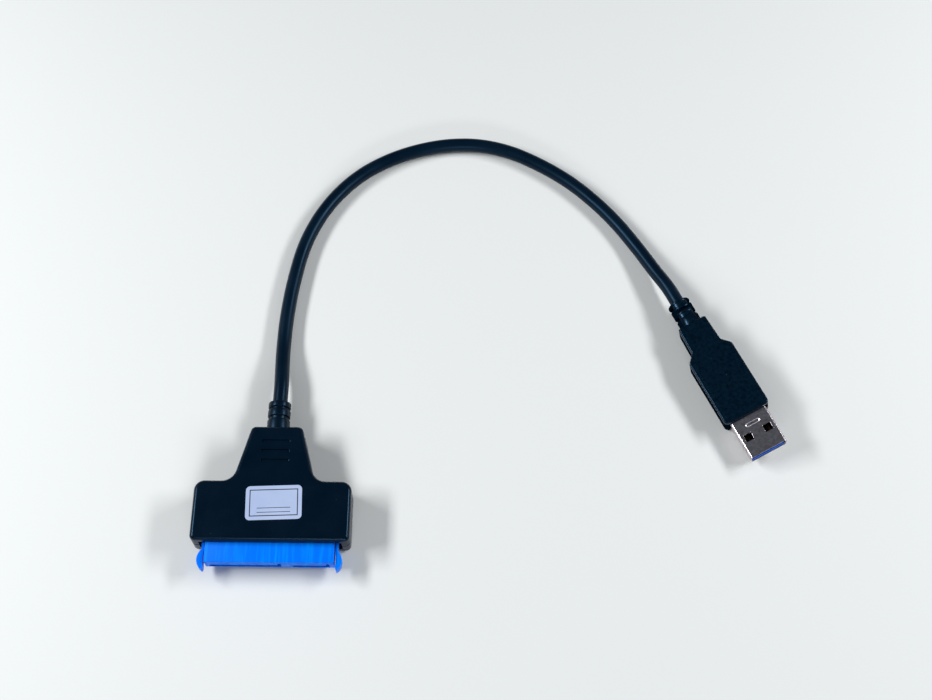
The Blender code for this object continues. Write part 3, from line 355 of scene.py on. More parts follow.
def groove(y):
    """A sunk slot with round ends: its outline is carried down from the roof round a soft edge, and
    its floor meets the side in another."""
    half, radius = (GROOVE_LENGTH - GROOVE_WIDTH) / 2, GROOVE_WIDTH / 2
    a = np.linspace(-np.pi / 2, np.pi / 2, GROOVE_STEPS + 1)
    ends = np.concatenate([a, a + np.pi])
    normals = np.stack([np.cos(ends), np.sin(ends)], 1)
    centres = np.where(normals[:, :1] >= -CLOSE, half, -half) * [1, 0]
    centres[GROOVE_STEPS + 1:, 0] = -half
    centres[:GROOVE_STEPS + 1, 0] = half
    soft = GROOVE_WIDTH / 6
    section = [(-soft * 1.4, 0.0), (-soft, 0.0), (-soft * 0.3, -soft * 0.3), (0.0, -soft),
               (0.0, -GROOVE_DEPTH + soft), (soft * 0.3, -GROOVE_DEPTH + soft * 0.3),
               (soft, -GROOVE_DEPTH), (soft * 1.4, -GROOVE_DEPTH)]
    rings = [centres + normals * (radius - inset) + [0, y] for inset, _ in section]
    return np.stack([np.column_stack([ring, np.full(len(ring), CASE_HEIGHT + z)])
                     for ring, (_, z) in zip(rings, section)])


rebate = WALL - LIP_THICKNESS - SEAM_GAP
rebate_top = LIP_HEIGHT - seam + SEAM_GAP
top_section = ([(WALL, roof), (WALL, rebate_top), (rebate, rebate_top), (rebate, seam),
                (EDGE, seam), (0, seam + EDGE)] + rounded(RIM, MIDDLE - RIM)
               + [(RIM + EDGE / 2, MIDDLE)])
top_grid = carried(outline, outward, top_section, opening)
grooves = [groove(NECK_END - GROOVE_FROM_END - i * GROOVE_PITCH) for i in range(GROOVES)]
top_posts = [post(x, POST_Y, POST, BOARD[1].z + 6 * CLEAR, CASE_HEIGHT - FLAT / 2)
             for x in (-POST_X, POST_X)]
top_cover = piece("top_cover", [top_grid] + grooves + top_posts, case_black,
                  flats=[CASE_HEIGHT, CASE_HEIGHT - FLAT])
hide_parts("upper_shell")

# Receptacle. The blue moulding that plugs on to a drive: a body with two keyed slots, a flange
# held in the case, and a guide ear at each end, in nylon with flow streaks from front to back.
RECEPTACLE_EDGE = 0.09 * mm


def refined(name, node, material, edge, sharp=32):
    """A CAD node's own shape with its loose triangles welded, its flat faces made whole and every
    edge rounded a little, as a mould or a press leaves it."""
    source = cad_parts[node]
    shape = bmesh.new()
    shape.from_mesh(source.data)
    bmesh.ops.remove_doubles(shape, verts=shape.verts, dist=CLOSE)
    bmesh.ops.dissolve_limit(shape, angle_limit=np.radians(1), verts=shape.verts, edges=shape.edges)
    mesh = bpy.data.meshes.new(name)
    shape.to_mesh(mesh)
    shape.free()
    mesh.materials.clear()
    mesh.materials.append(material)
    mesh.shade_smooth()
    mesh.set_sharp_from_angle(angle=np.radians(sharp))
    thing = bpy.data.objects.new(name, mesh)
    bpy.context.scene.collection.objects.link(thing)
    soft = thing.modifiers.new("soft_edges", "BEVEL")
    soft.width, soft.segments, soft.limit_method = edge, 2, "ANGLE"
    soft.angle_limit = np.radians(sharp)
    soft.harden_normals = True
    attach(thing, "root")
    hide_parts(node)
    return thing


def object_place(tree):
    """The output that holds a point's place on the object."""
    return tree.nodes.new("ShaderNodeTexCoord").outputs["Object"]


def streaked(name, colour, pale, roughness, stretch, dust):
    """Moulded nylon: pale flow streaks run from front to back, as noise stretched along Y."""
    material = moulded(name, colour, pale, roughness, depth=0.06, dust=dust, specular=0.2,
                       tint=COOL)
    tree = material.node_tree
    mix = next(n for n in tree.nodes if n.type == "MIX" and n.inputs[0].is_linked
               and n.inputs[0].links[0].from_socket.name == "Clouding")
    lay = add_node(tree, "ShaderNodeMapping", {"Scale": stretch})
    flow = add_node(tree, "ShaderNodeTexNoise", {"Scale": 1.0, "Detail": 3.0, "Roughness": 0.6})
    tree.links.new(object_place(tree), lay.inputs["Vector"])
    wire_up(tree, lay, flow.inputs["Vector"])
    tree.links.new(ramp(tree, flow.outputs[0], 0.45, 0.75), mix.inputs[0])
    return material


nylon_blue = streaked("nylon_blue", (0.0, 0.155, 0.84), (0.0, 0.265, 0.95), (0.34, 0.44),
                      (900.0, 60.0, 200.0), 0.6)
refined("receptacle_moulding", "sata_receptacle", nylon_blue, RECEPTACLE_EDGE)

# Contacts. Twenty-two gold-plated sprung contacts in the receptacle and nine contacts in the plug,
# in the CAD's own shape. The plug's are painted near black instead of gold: painted shade, so
# that the latch windows above them look black.


def plated(name, colour, dull, roughness, grain, **others):
    """Plated metal: a fully metallic surface whose tone and gloss drift in clouds over a fine
    rolled grain."""
    return moulded(name, colour, dull, roughness, grain=grain, metallic=1.0, depth=0.05, **others)


gold = plated("contact_plating", (0.78, 0.52, 0.17), (0.62, 0.40, 0.14), (0.22, 0.38), 9000.0)


def paint(names, material):
    """Give CAD nodes that keep their shape a material of their own."""
    for name in names:
        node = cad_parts[name]
        node.data.materials.clear()
        node.data.materials.append(material)
        faces = node.data.polygons
        faces.foreach_set("material_index", np.zeros(len(faces), dtype=np.int32))


contacts = [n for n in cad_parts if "contact" in n]
plug_contacts = [n for n in contacts if "usb" in n or "superspeed" in n]
paint(contacts, gold)
# The plug's contacts are painted near black: painted shade inside the tube, not their plating's
# colour.
paint(plug_contacts, plated("plug_contact_painted_shade", (0.05, 0.035, 0.015), (0.03, 0.02, 0.01),
                            (0.4, 0.5), 9000.0))

# Circuit board. A green laminate on the posts, with a bridge chip, its flash memory, a regulator,
# a crystal, an inductor and four capacitors soldered on top; the covers hide it.


def laminate(name):
    """Solder mask over copper: traces show as paler lines between the bricks of a pattern."""
    material = moulded(name, (0.006, 0.085, 0.03), (0.012, 0.14, 0.05), (0.25, 0.38), dust=0.1)
    tree = material.node_tree
    bricks = add_node(tree, "ShaderNodeTexBrick",
                      {"Scale": 260.0, "Mortar Size": 0.035, "Color1": (0.006, 0.085, 0.03, 1),
                       "Color2": (0.009, 0.105, 0.036, 1), "Mortar": (0.02, 0.22, 0.08, 1)})
    tree.links.new(object_place(tree), bricks.inputs["Vector"])
    laid_over(tree, 0.7, bricks.outputs["Color"])
    return material


chip_black = moulded("chip_black", (0.014, 0.014, 0.015), (0.024, 0.024, 0.026), (0.45, 0.6))
ferrite = moulded("inductor_ferrite", (0.09, 0.09, 0.095), (0.13, 0.13, 0.135), (0.55, 0.7))
capacitor_tan = moulded("capacitor_ceramic", (0.36, 0.25, 0.14), (0.46, 0.33, 0.2), (0.4, 0.55))
crystal_can = plated("crystal_can", (0.68, 0.68, 0.66), (0.56, 0.56, 0.55), (0.25, 0.4), 7000.0)
paint(["circuit_board"], laminate("board_laminate"))
paint(["bridge_chip", "flash_chip", "regulator"], chip_black)
paint(["inductor"], ferrite)
paint(["crystal"], crystal_can)
paint([f"capacitor_{i + 1}" for i in range(4)], capacitor_tan)

# Wires. Eight insulated cores run from the cable's end to pads on both faces of the board, each
# with its own colour of PVC.
CORES = ((0.45, 0.02, 0.02), (0.6, 0.6, 0.58), (0.03, 0.28, 0.06), (0.02, 0.02, 0.02),
         (0.03, 0.09, 0.45), (0.58, 0.48, 0.05), (0.26, 0.05, 0.35), (0.55, 0.18, 0.03))
for i, core in enumerate(CORES):
    pale = tuple(c * 1.25 + 0.01 for c in core)
    paint([f"wire_{i + 1}"], moulded(f"core_{i + 1}", core, pale, (0.3, 0.42), depth=0.03))

# Label. A pale film sticker with round corners on the head's roof, a little askew; its face is
# left plain but for a thin frame and two writing lines.
STICKER_WIDTH, STICKER_DEPTH, STICKER_CORNER = 16.3 * mm, 10.4 * mm, 1.3 * mm
STICKER_PLACE = np.array([0.7 * mm, FRONT + 11.2 * mm])
STICKER_TURN = np.radians(2.4)
STICKER_LOW, STICKER_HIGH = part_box("label")[0].z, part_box("label")[1].z
PRINT_INSET, PRINT_LINE = 1.1 * mm, 0.3 * mm
PRINT_ROWS = (-1.6 * mm, -2.9 * mm)
PRINT_GREY = (0.03, 0.032, 0.045, 1)


def sticker_grid():
    """The sticker's rounded rectangle carried over its thickness and in across its face."""
    w, d, r = STICKER_WIDTH / 2, STICKER_DEPTH / 2, STICKER_CORNER
    loop, normals = arc_loop([(w, -d, r), (w, d, r), (-w, d, r), (-w, -d, r)], {}, 8)
    edge = 0.04 * mm
    section = [(edge * 2, STICKER_LOW), (0, STICKER_LOW), (0, STICKER_HIGH - edge),
               (edge * 0.3, STICKER_HIGH - edge * 0.3), (edge, STICKER_HIGH),
               (edge * 3, STICKER_HIGH)]
    c, s = np.cos(STICKER_TURN), np.sin(STICKER_TURN)
    rows = []
    for inset, z in section:
        ring = (loop - normals * inset) @ np.array([[c, s], [-s, c]]) + STICKER_PLACE
        rows.append(np.column_stack([ring, np.full(len(ring), z)]))
    return np.stack(rows)


def own_axes(tree, place, turned):
    """X, Y and Z of a frame that lies at a place and is turned, as three outputs."""
    lay = add_node(tree, "ShaderNodeMapping", {"Location": place, "Rotation": turned},
                   vector_type="TEXTURE")
    split = tree.nodes.new("ShaderNodeSeparateXYZ")
    tree.links.new(object_place(tree), lay.inputs["Vector"])
    wire_up(tree, lay, split.inputs[0])
    return split.outputs


def printed_film(name):
    """Pale film with grey ink: the ink's mask is the rim of a frame plus two bars, from the
    distance to the sides of a box in the sticker's own turned coordinates."""
    material = moulded(name, (0.37, 0.44, 0.64), (0.42, 0.49, 0.69), (0.42, 0.55), depth=0.03,
                       dust=0.5)
    tree = material.node_tree
    axes = own_axes(tree, (*STICKER_PLACE, 0), (0, 0, STICKER_TURN))

    def inside(y, half_width, half_height):
        across = maths(tree, "SUBTRACT", half_width, maths(tree, "ABSOLUTE", axes[0]))
        away = maths(tree, "ABSOLUTE", maths(tree, "SUBTRACT", axes[1], y))
        return maths(tree, "MINIMUM", across, maths(tree, "SUBTRACT", half_height, away))

    w, d = STICKER_WIDTH / 2 - PRINT_INSET, STICKER_DEPTH / 2 - PRINT_INSET
    off = maths(tree, "ABSOLUTE", maths(tree, "SUBTRACT", inside(0.0, w, d), PRINT_LINE / 2))
    ink = maths(tree, "LESS_THAN", off, PRINT_LINE / 2)
    for y in PRINT_ROWS:
        bar = maths(tree, "GREATER_THAN", inside(y, w - 2 * PRINT_INSET, PRINT_LINE / 3), 0.0)
        ink = maths(tree, "MAXIMUM", ink, bar)
    laid_over(tree, ink, PRINT_GREY)
    return material


sticker = piece("face_label", [sticker_grid()], printed_film("label_film"))
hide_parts("label")

# Boot. The soft ringed sleeve that keeps the cable from kinking where it leaves the head, moulded
# in black PVC; its neck sits in the hole of the case and its flange behind the wall.
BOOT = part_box("strain_relief")
BOOT_RADIUS, BOOT_NECK, BOOT_FLANGE = 3.4 * mm, 2.7 * mm, 3.6 * mm
BOOT_START = NECK_END + SEAM_GAP
RING_LENGTHS, RING_GAPS = (1.85 * mm, 2.35 * mm), (0.6 * mm, 0.9 * mm)
RING_DEPTH, BOOT_EDGE = 0.55 * mm, 0.3 * mm
boot_black = moulded("boot_pvc", (0.0004, 0.0035, 0.0085), (0.0010, 0.0052, 0.012), (0.28, 0.38),
                     grain=3800.0, specular=0.22, tint=COOL)


def soft_ring(start, end, radius, edge, low, steps=4):
    """Profile of one ring as (y, radius): up a rounded edge, along, and down another."""
    a = np.linspace(0, np.pi / 2, steps + 1)
    rise = [(start + edge * (1 - np.cos(t)), radius - edge * (1 - np.sin(t))) for t in a]
    fall = [(end - edge * (1 - np.cos(t)), radius - edge * (1 - np.sin(t))) for t in a[::-1]]
    return [(start, low)] + rise + fall + [(end, low)]


def turned_grid(profile, x, z, columns=48):
    """A profile of (y, radius) turned about an axis along Y through (x, z)."""
    profile = np.array(profile)
    a = np.linspace(0, 2 * np.pi, columns, endpoint=False)
    y = np.repeat(profile[:, :1], columns, 1)
    return np.stack([x + profile[:, 1:] * np.cos(a), y, z + profile[:, 1:] * np.sin(a)], -1)


ring_low = BOOT_RADIUS - RING_DEPTH
boot_profile = soft_ring(BOOT[0].y, BOOT[0].y + 1.5 * mm, BOOT_FLANGE, BOOT_EDGE / 2, BOOT_NECK)
edges = [BOOT_START, BOOT[1].y - sum(RING_LENGTHS) - sum(RING_GAPS)]
for length, gap in zip(reversed(RING_LENGTHS), reversed(RING_GAPS)):
    edges += [edges[-1] + gap, edges[-1] + gap + length]
for start, end in zip(edges[::2], edges[1::2]):
    low = ring_low if start > BOOT_START else BOOT_NECK
    boot_profile += soft_ring(start, end, BOOT_RADIUS, BOOT_EDGE, low)
boot_profile[0] = (BOOT[0].y, BOOT_NECK)
boot_profile[-1] = (BOOT[1].y, ring_low)
boot = piece("cable_boot", [turned_grid(boot_profile, NECK_HOLE_X, MIDDLE)], boot_black)
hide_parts("strain_relief")

# Cable. A short round lead with a smooth black PVC jacket; it rises a little into both ends and
# lies on the table between them, as the photograph shows from end to end.
CABLE_DIAMETER = 4.5 * mm
CABLE_STRAIGHT, CABLE_DIP = 6.9 * mm, 0.2 * mm
CABLE_LIE = CABLE_DIAMETER / 2 + 0.05 * mm
PLUG_PLACE = np.array([142.0, 23.6, 5.385]) * mm
PLUG_TURN, PLUG_ROLL = np.radians(26), np.radians(14)
PLUG_END = 43.0 * mm
CABLE_ROUTE = np.array([
    (-0.7, 40.5, 3.9), (-0.9, 48.0, 2.6), (-0.6, 57.5, 2.3), (0.6, 69.0, 2.3),
    (3.0, 82.0, 2.3), (7.0, 93.0, 2.3), (12.8, 102.7, 2.3), (20.4, 110.9, 2.3),
    (29.4, 117.0, 2.3), (39.4, 121.2, 2.3), (49.9, 123.5, 2.3), (60.4, 123.5, 2.3),
    (70.9, 120.8, 2.3), (80.9, 115.7, 2.3), (89.9, 109.5, 2.3), (97.9, 102.1, 2.3),
    (105.1, 93.7, 2.3), (111.3, 84.4, 2.7), (116.4, 75.2, 3.9),
]) * mm
CABLE_COLUMNS = 28


def on_plug(points):
    """Points of the plug's own frame, cable end towards +Y, moved to where the plug lies: rolled on
    its own axis, its right side up, then turned about the vertical."""
    c, s, d, e = np.cos(PLUG_TURN), np.sin(PLUG_TURN), np.cos(PLUG_ROLL), np.sin(PLUG_ROLL)
    roll = np.array([[d, 0, e], [0, 1, 0], [-e, 0, d]])
    return points @ roll @ np.array([[c, s, 0], [-s, c, 0], [0, 0, 1]]) + PLUG_PLACE


def smooth_line(points, spacing):
    """Evenly spaced points on the Catmull-Rom curve through the route's points."""
    p = np.concatenate([[2 * points[0] - points[1]], points, [2 * points[-1] - points[-2]]])
    t = np.linspace(0, 1, 40, endpoint=False)[None, :, None]
    a, b, c, d = (p[i:len(p) - 3 + i][:, None] for i in range(4))
    curve = 0.5 * (2 * b + (c - a) * t + (2 * a - 5 * b + 4 * c - d) * t**2
                   + (3 * b - a - 3 * c + d) * t**3)
    curve = np.concatenate([curve.reshape(-1, 3), points[-1:]])
    run = np.concatenate([[0], np.cumsum(np.linalg.norm(np.diff(curve, axis=0), axis=1))])
    even = np.linspace(0, run[-1], int(round(run[-1] / spacing)) + 1)
    return np.stack([np.interp(even, run, curve[:, i]) for i in range(3)], 1)


def tube_grid(line, radius, columns):
    """A circle carried along a line that never runs straight up: each circle stands across the
    line, with its first point to the side."""
    along = unit(np.gradient(line, axis=0))
    side = unit(np.cross(along, [0.0, 0.0, 1.0]))
    up = np.cross(side, along)
    a = np.linspace(0, 2 * np.pi, columns, endpoint=False)[None, :, None]
    around = np.cos(a) * side[:, None] + np.sin(a) * up[:, None]
    return line[:, None] + radius * around


cable_start = np.array([NECK_HOLE_X, BOOT[1].y + SEAM_GAP, MIDDLE])
cable_stub = on_plug(np.array([[0, PLUG_END + CABLE_STRAIGHT, 0], [0, PLUG_END + SEAM_GAP, 0]]))
cable_stub[0, 2] -= CABLE_DIP
route = np.concatenate([[cable_start, cable_start + [0, CABLE_STRAIGHT, -CABLE_DIP]],
                        CABLE_ROUTE, cable_stub])
centreline = smooth_line(route, 1.2 * mm)
centreline[:, 2] = np.maximum(centreline[:, 2], CABLE_LIE)
jacket_black = moulded("jacket_pvc", (0.0003, 0.0045, 0.0120), (0.0012, 0.0070, 0.0165),
                       (0.30, 0.42), grain=2600.0, depth=0.12, dust=0.25, specular=0.22, tint=COOL)
jacket_line = centreline.copy()
jacket_line[0] += unit(centreline[0] - centreline[1]) * SEAM_GAP
jacket_line[-1] += unit(centreline[-1] - centreline[-2]) * SEAM_GAP
jacket = piece("cable_jacket", [tube_grid(jacket_line, CABLE_DIAMETER / 2, CABLE_COLUMNS)],
               jacket_black)
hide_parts("cable")

# Plug grip. One black PVC overmould: a flat body with ribbed sides and a sparked top panel inside a
# smooth rim, narrowing to a slotted sleeve round the cable.
GRIP_HALF = 3.8 * mm
GRIP_LENGTH, GRIP_BULGE, GRIP_WAIST = 34.2 * mm, 22.4 * mm, 25.0 * mm
GRIP_WIDTHS = (7.5 * mm, 7.45 * mm, 5.0 * mm, 4.7 * mm)
GRIP_CORNER, GRIP_RIM = 1.4 * mm, 0.55 * mm
RIBS, RIB_PITCH, RIB_DEPTH, RIB_START = 9, 1.2 * mm, 0.25 * mm, 5.0 * mm
TAIL_RADIUS, TAIL_CORE, TAIL_EDGE = 3.6 * mm, 2.45 * mm, 0.3 * mm
TAIL_DISC, TAIL_SLOT, TAIL_SLOTS = 0.85 * mm, 1.1 * mm, 3
POCKET = np.array([6.25, 2.5, 0.95]) * mm
POCKET_DEPTH = 6.45 * mm
SECTION_STEPS, SIDE_POINTS, TOP_POINTS = 7, 9, 15
PANEL, PANEL_MIDDLE = (12.6 * mm, 19.4 * mm), 11.2 * mm


def section_loop(w, h, r):
    """A rounded rectangle of half width w, half height h and corner radius r as (x, z) columns:
    four quarter circles joined by evenly divided sides. Its count never changes, so sections can
    be carried into one another."""
    a = np.linspace(0, np.pi / 2, SECTION_STEPS + 1)
    x, z = w - r, h - r
    parts = []
    for i, (cx, cz, side) in enumerate(((x, z, (-x, 0)), (-x, z, (0, -z)), (-x, -z, (x, 0)),
                                        (x, -z, (0, z)))):
        turned = a + i * np.pi / 2
        arc = np.stack([cx + r * np.cos(turned), cz + r * np.sin(turned)], 1)
        count = SIDE_POINTS if i % 2 else TOP_POINTS
        share = np.linspace(0, 2, count + 2)[1:-1, None]
        parts += [arc, arc[-1] + share * np.array(side)]
    return np.concatenate(parts)


def grip_half_width(y):
    """Half the grip's width along its length: straight sides between four stations, with the front
    corners and the shoulders rounded."""
    width = np.interp(y, [0, GRIP_BULGE, GRIP_WAIST, GRIP_LENGTH], GRIP_WIDTHS)
    near = np.clip(GRIP_CORNER - y, 0, GRIP_CORNER)
    return width - (GRIP_CORNER - np.sqrt(GRIP_CORNER**2 - near**2))


def softened(function, y, reach, samples=9):
    """A function's average over a short stretch, which rounds its corners."""
    shift = np.linspace(-reach, reach, samples)
    return np.mean([function(y + s) for s in shift], 0)


def grip_rows():
    """Places of the grip's rows: close at the rounded ends, the rib edges and the shoulders."""
    ends = GRIP_CORNER * (1 - np.cos(np.linspace(0, np.pi / 2, 10)))
    ribs = RIB_START + np.arange(RIBS)[:, None] * RIB_PITCH + np.array([0, 0.08, 0.6, 0.68]) * mm
    middle = np.linspace(GRIP_BULGE - 1.5 * mm, GRIP_WAIST + 1.5 * mm, 24)
    rear = GRIP_LENGTH - GRIP_RIM * (1 - np.cos(np.linspace(0, np.pi / 2, 6)))
    places = np.concatenate([ends, ribs.ravel(), [17 * mm, 19 * mm], middle, rear])
    return np.unique(places.round(8))


def grip_grid():
    """The grip's outer surface: a rounded rectangle whose width follows the plan, whose height dips
    round both ends, and whose sides sink at the ribs. The tail goes on as circles cut flat where
    its slots are."""
    rows = []
    for y in grip_rows():
        w = softened(grip_half_width, np.array(y), 0.5 * mm) if y > 3 * mm else grip_half_width(y)
        end = min(y, GRIP_LENGTH - y)
        dip = GRIP_RIM - np.sqrt(GRIP_RIM**2 - np.clip(GRIP_RIM - end, 0, GRIP_RIM) ** 2)
        loop = section_loop(w - (dip if y > GRIP_WAIST else 0), GRIP_HALF - dip, GRIP_RIM)
        along = (y - RIB_START) / RIB_PITCH
        sunk = 0 <= along < RIBS and 0.02 < along % 1 < 0.52
        flank = np.clip((GRIP_HALF - 2 * GRIP_RIM - abs(loop[:, 1])) / (0.2 * mm) + 1, 0, 1)
        at_side = abs(loop[:, 0]) > w - 0.1 * mm
        loop[:, 0] -= np.sign(loop[:, 0]) * RIB_DEPTH * sunk * flank * at_side
        rows.append(np.column_stack([loop[:, 0], np.full(len(loop), y), loop[:, 1]]))
    marks = [(GRIP_LENGTH, TAIL_RADIUS, None)]
    for i in reversed(range(TAIL_SLOTS)):
        far, cut = PLUG_END - TAIL_DISC - i * (TAIL_DISC + TAIL_SLOT), i % 2
        near, soft = far - TAIL_SLOT, TAIL_RADIUS - TAIL_EDGE / 3
        marks += [(near - TAIL_EDGE / 2, TAIL_RADIUS, None), (near, soft, None),
                  (near, TAIL_RADIUS, cut), (far, TAIL_RADIUS, cut),
                  (far, soft, None), (far + TAIL_EDGE / 2, TAIL_RADIUS, None)]
    marks += [(PLUG_END - TAIL_EDGE * (1 - np.sin(t)), TAIL_RADIUS - TAIL_EDGE * (1 - np.cos(t)),
               None) for t in np.linspace(0, np.pi / 2, 5)]
    for y, radius, cut in marks:
        loop = section_loop(radius, radius, radius * 0.999)
        if cut is not None:
            loop[:, cut] = np.clip(loop[:, cut], -TAIL_CORE, TAIL_CORE)
        rows.append(np.column_stack([loop[:, 0], np.full(len(loop), y), loop[:, 1]]))
    pocket = section_loop(*POCKET)
    inner = [np.column_stack([pocket[:, 0], np.full(len(pocket), y), pocket[:, 1]])
             for y in (POCKET_DEPTH, 0.1 * mm)]
    lip = section_loop(*(POCKET + 0.1 * mm))
    inner.append(np.column_stack([lip[:, 0], np.zeros(len(lip)), lip[:, 1]]))
    return on_plug(np.array(inner + rows))


def plug_axes(tree):
    """X, Y and Z of the plug's own frame, as three outputs."""
    return own_axes(tree, PLUG_PLACE, (0, -PLUG_ROLL, PLUG_TURN))


def sparked_panel(name):
    """The grip's plastic: a spark texture on the top panel only, from the distance inside a box in
    the plug's own frame, and dull flanks between shinier rims."""
    material = moulded(name, (0.0001, 0.0026, 0.0065), (0.0012, 0.0075, 0.0165), (0.2, 0.28),
                       dust=0.2, clouds=1100.0, tint=COOL)
    tree = material.node_tree
    shader = tree.nodes["Principled BSDF"]
    axes = plug_axes(tree)
    shine = ramp(tree, axes[2], GRIP_HALF - 1.3 * mm, GRIP_HALF - 0.5 * mm, 0.0, 0.3)
    tree.links.new(shine, shader.inputs["Specular IOR Level"])
    spark = add_node(tree, "ShaderNodeTexNoise", {"Scale": 1500.0, "Detail": 3.0, "Roughness": 0.7})
    tree.links.new(object_place(tree), spark.inputs["Vector"])
    high = spark.outputs[0]
    for axis, middle, half in ((0, 0.0, PANEL[0] / 2), (1, PANEL_MIDDLE, PANEL[1] / 2),
                               (2, GRIP_HALF, 0.1 * mm)):
        away = maths(tree, "ABSOLUTE", maths(tree, "SUBTRACT", axes[axis], middle))
        high = maths(tree, "MULTIPLY", high, ramp(tree, away, half, half - 0.05 * mm))
    rough = add_node(tree, "ShaderNodeBump", {"Strength": 0.5, "Distance": 0.06 * mm})
    tree.links.new(high, rough.inputs["Height"])
    wire_up(tree, shader.inputs["Normal"].links[0].from_node, rough.inputs["Normal"])
    wire_up(tree, rough, shader.inputs["Normal"])
    return material


grip = piece("plug_overmould", [grip_grid()], sparked_panel("grip_pvc"))
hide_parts("plug_grip")

# USB shell. A tube folded from nickel-plated steel sheet, with two latch windows above and below
# and a stamped lance behind them, pressed into the grip's pocket.
SHELL_HALF_WIDTH, SHELL_HALF_HEIGHT, SHEET, SHELL_CORNER = 6.0 * mm, 2.25 * mm, 0.32 * mm, 0.7 * mm
SHELL_TIP, SHELL_ROOT = -12.3 * mm, 6.2 * mm
WINDOW_X, WINDOW_HALF_WIDTH = 3.25 * mm, 1.25 * mm
WINDOW_Y, WINDOW_HALF_LENGTH = -6.2 * mm, 1.15 * mm
LANCE_Y, LANCE_HALF_STEM, LANCE_DEPTH = -2.8 * mm, 1.7 * mm, 0.16 * mm
LANCE_RIM, LANCE_BAND = 0.5 * mm, 0.22 * mm
# The lance's pale colour is a painted highlight; its higher roughness is the pressed line's own.
LANCE_PAINTED_HIGHLIGHT, LANCE_ROUGHNESS = (0.9, 0.86, 0.88, 1), 0.5
SHEET_STEP = 0.12 * mm


def between(low, high, marks=()):
    """Even steps from low to high, with the marks put in exactly."""
    steps = np.linspace(low, high, int(round((high - low) / SHEET_STEP)) + 1)
    marks = np.array([m for m in marks if low < m < high])
    keep = [s for s in steps if not len(marks) or abs(marks - s).min() > SHEET_STEP / 3]
    return np.unique(np.concatenate([keep, marks]))


def usb_shell():
    """The sheet's outer face as a grid of columns round the tube and rows along it, left out in
    the windows and pushed in along the line of the lance; Solidify thickens it inwards."""
    w, h, r = SHELL_HALF_WIDTH, SHELL_HALF_HEIGHT, SHELL_CORNER
    cuts = [s * (WINDOW_X + t * WINDOW_HALF_WIDTH) for s in (-1, 1) for t in (-1, 1)]
    top = between(-(w - r), w - r, cuts)[::-1]
    side = np.linspace(h - r, r - h, 8)[1:-1]
    a = np.linspace(0, np.pi / 2, 7)
    corner = np.stack([np.cos(a), np.sin(a)], 1) * r
    loop = np.concatenate([
        corner + [w - r, h - r], np.stack([top[1:-1], np.full(len(top) - 2, h)], 1),
        corner[::-1] * [-1, 1] + [r - w, h - r], np.stack([np.full(6, -w), side], 1),
        -corner + [r - w, r - h], np.stack([top[::-1][1:-1], np.full(len(top) - 2, -h)], 1),
        corner[::-1] * [1, -1] + [w - r, r - h], np.stack([np.full(6, w), side[::-1]], 1)])
    rows = between(SHELL_TIP, SHELL_ROOT,
                   [WINDOW_Y - WINDOW_HALF_LENGTH, WINDOW_Y + WINDOW_HALF_LENGTH])
    x, z = (np.repeat(loop[None, :, i], len(rows), 0) for i in (0, 1))
    y = np.repeat(rows[:, None], len(loop), 1)
    over = np.hypot(np.maximum(abs(x) - LANCE_HALF_STEM, 0), y - LANCE_Y)
    dent = np.clip(1 - abs(over - LANCE_RIM) / LANCE_BAND, 0, 1) * (z > h - CLOSE)
    grid = on_plug(np.stack([x, y, z - LANCE_DEPTH * dent], -1))
    index = np.arange(x.size).reshape(x.shape)
    beside = np.roll(index, -1, 1)
    faces = np.stack([index[:-1], beside[:-1], beside[1:], index[1:]], -1)
    middle_x = (x[:-1] + np.roll(x, -1, 1)[:-1]) / 2
    middle_y = (y[:-1] + y[1:]) / 2
    flat = abs(z[:-1]) > h - CLOSE
    hole = (flat & (abs(abs(middle_x) - WINDOW_X) < WINDOW_HALF_WIDTH)
            & (abs(middle_y - WINDOW_Y) < WINDOW_HALF_LENGTH))
    mesh = bpy.data.meshes.new("plug_sheet_shell")
    mesh.from_pydata(grid.reshape(-1, 3).tolist(), [], faces[~hole].tolist())
    shape = bmesh.new()
    shape.from_mesh(mesh)
    bmesh.ops.remove_doubles(shape, verts=shape.verts, dist=CLOSE)
    loose = [v for v in shape.verts if not v.link_faces]
    bmesh.ops.delete(shape, geom=loose, context="VERTS")
    bmesh.ops.recalc_face_normals(shape, faces=shape.faces)
    shape.to_mesh(mesh)
    shape.free()
    return mesh


def pressed_line(material):
    """The pressed line of the lance is duller than the sheet round it, and painted paler as a
    painted
    highlight along its outline: a ring at an even distance from the lance's middle, on the top face
    only."""
    tree = material.node_tree
    x, y, z = plug_axes(tree)
    past = maths(tree, "SUBTRACT", maths(tree, "ABSOLUTE", x), LANCE_HALF_STEM)
    flat = tree.nodes.new("ShaderNodeCombineXYZ")
    tree.links.new(maths(tree, "MAXIMUM", past, 0.0), flat.inputs[0])
    tree.links.new(maths(tree, "SUBTRACT", y, LANCE_Y), flat.inputs[1])
    reach = add_node(tree, "ShaderNodeVectorMath", operation="LENGTH")
    wire_up(tree, flat, reach.inputs[0])
    off = maths(tree, "ABSOLUTE", maths(tree, "SUBTRACT", reach.outputs["Value"], LANCE_RIM))
    on_top = maths(tree, "GREATER_THAN", z, SHELL_HALF_HEIGHT - SHEET)
    mask = maths(tree, "MULTIPLY", ramp(tree, off, LANCE_BAND * 0.8, 0.0), on_top)
    # Painted highlight: the pale ring stands in for light caught along the pressed line.
    laid_over(tree, mask, LANCE_PAINTED_HIGHLIGHT)
    roughness = tree.nodes["Principled BSDF"].inputs["Roughness"]
    dull = add_node(tree, "ShaderNodeMix", {MIX_SECOND: LANCE_ROUGHNESS}, data_type="FLOAT")
    tree.links.new(mask, dull.inputs[0])
    wire_up(tree, roughness.links[0].from_node, dull.inputs[MIX_FIRST])
    wire_up(tree, dull, roughness)


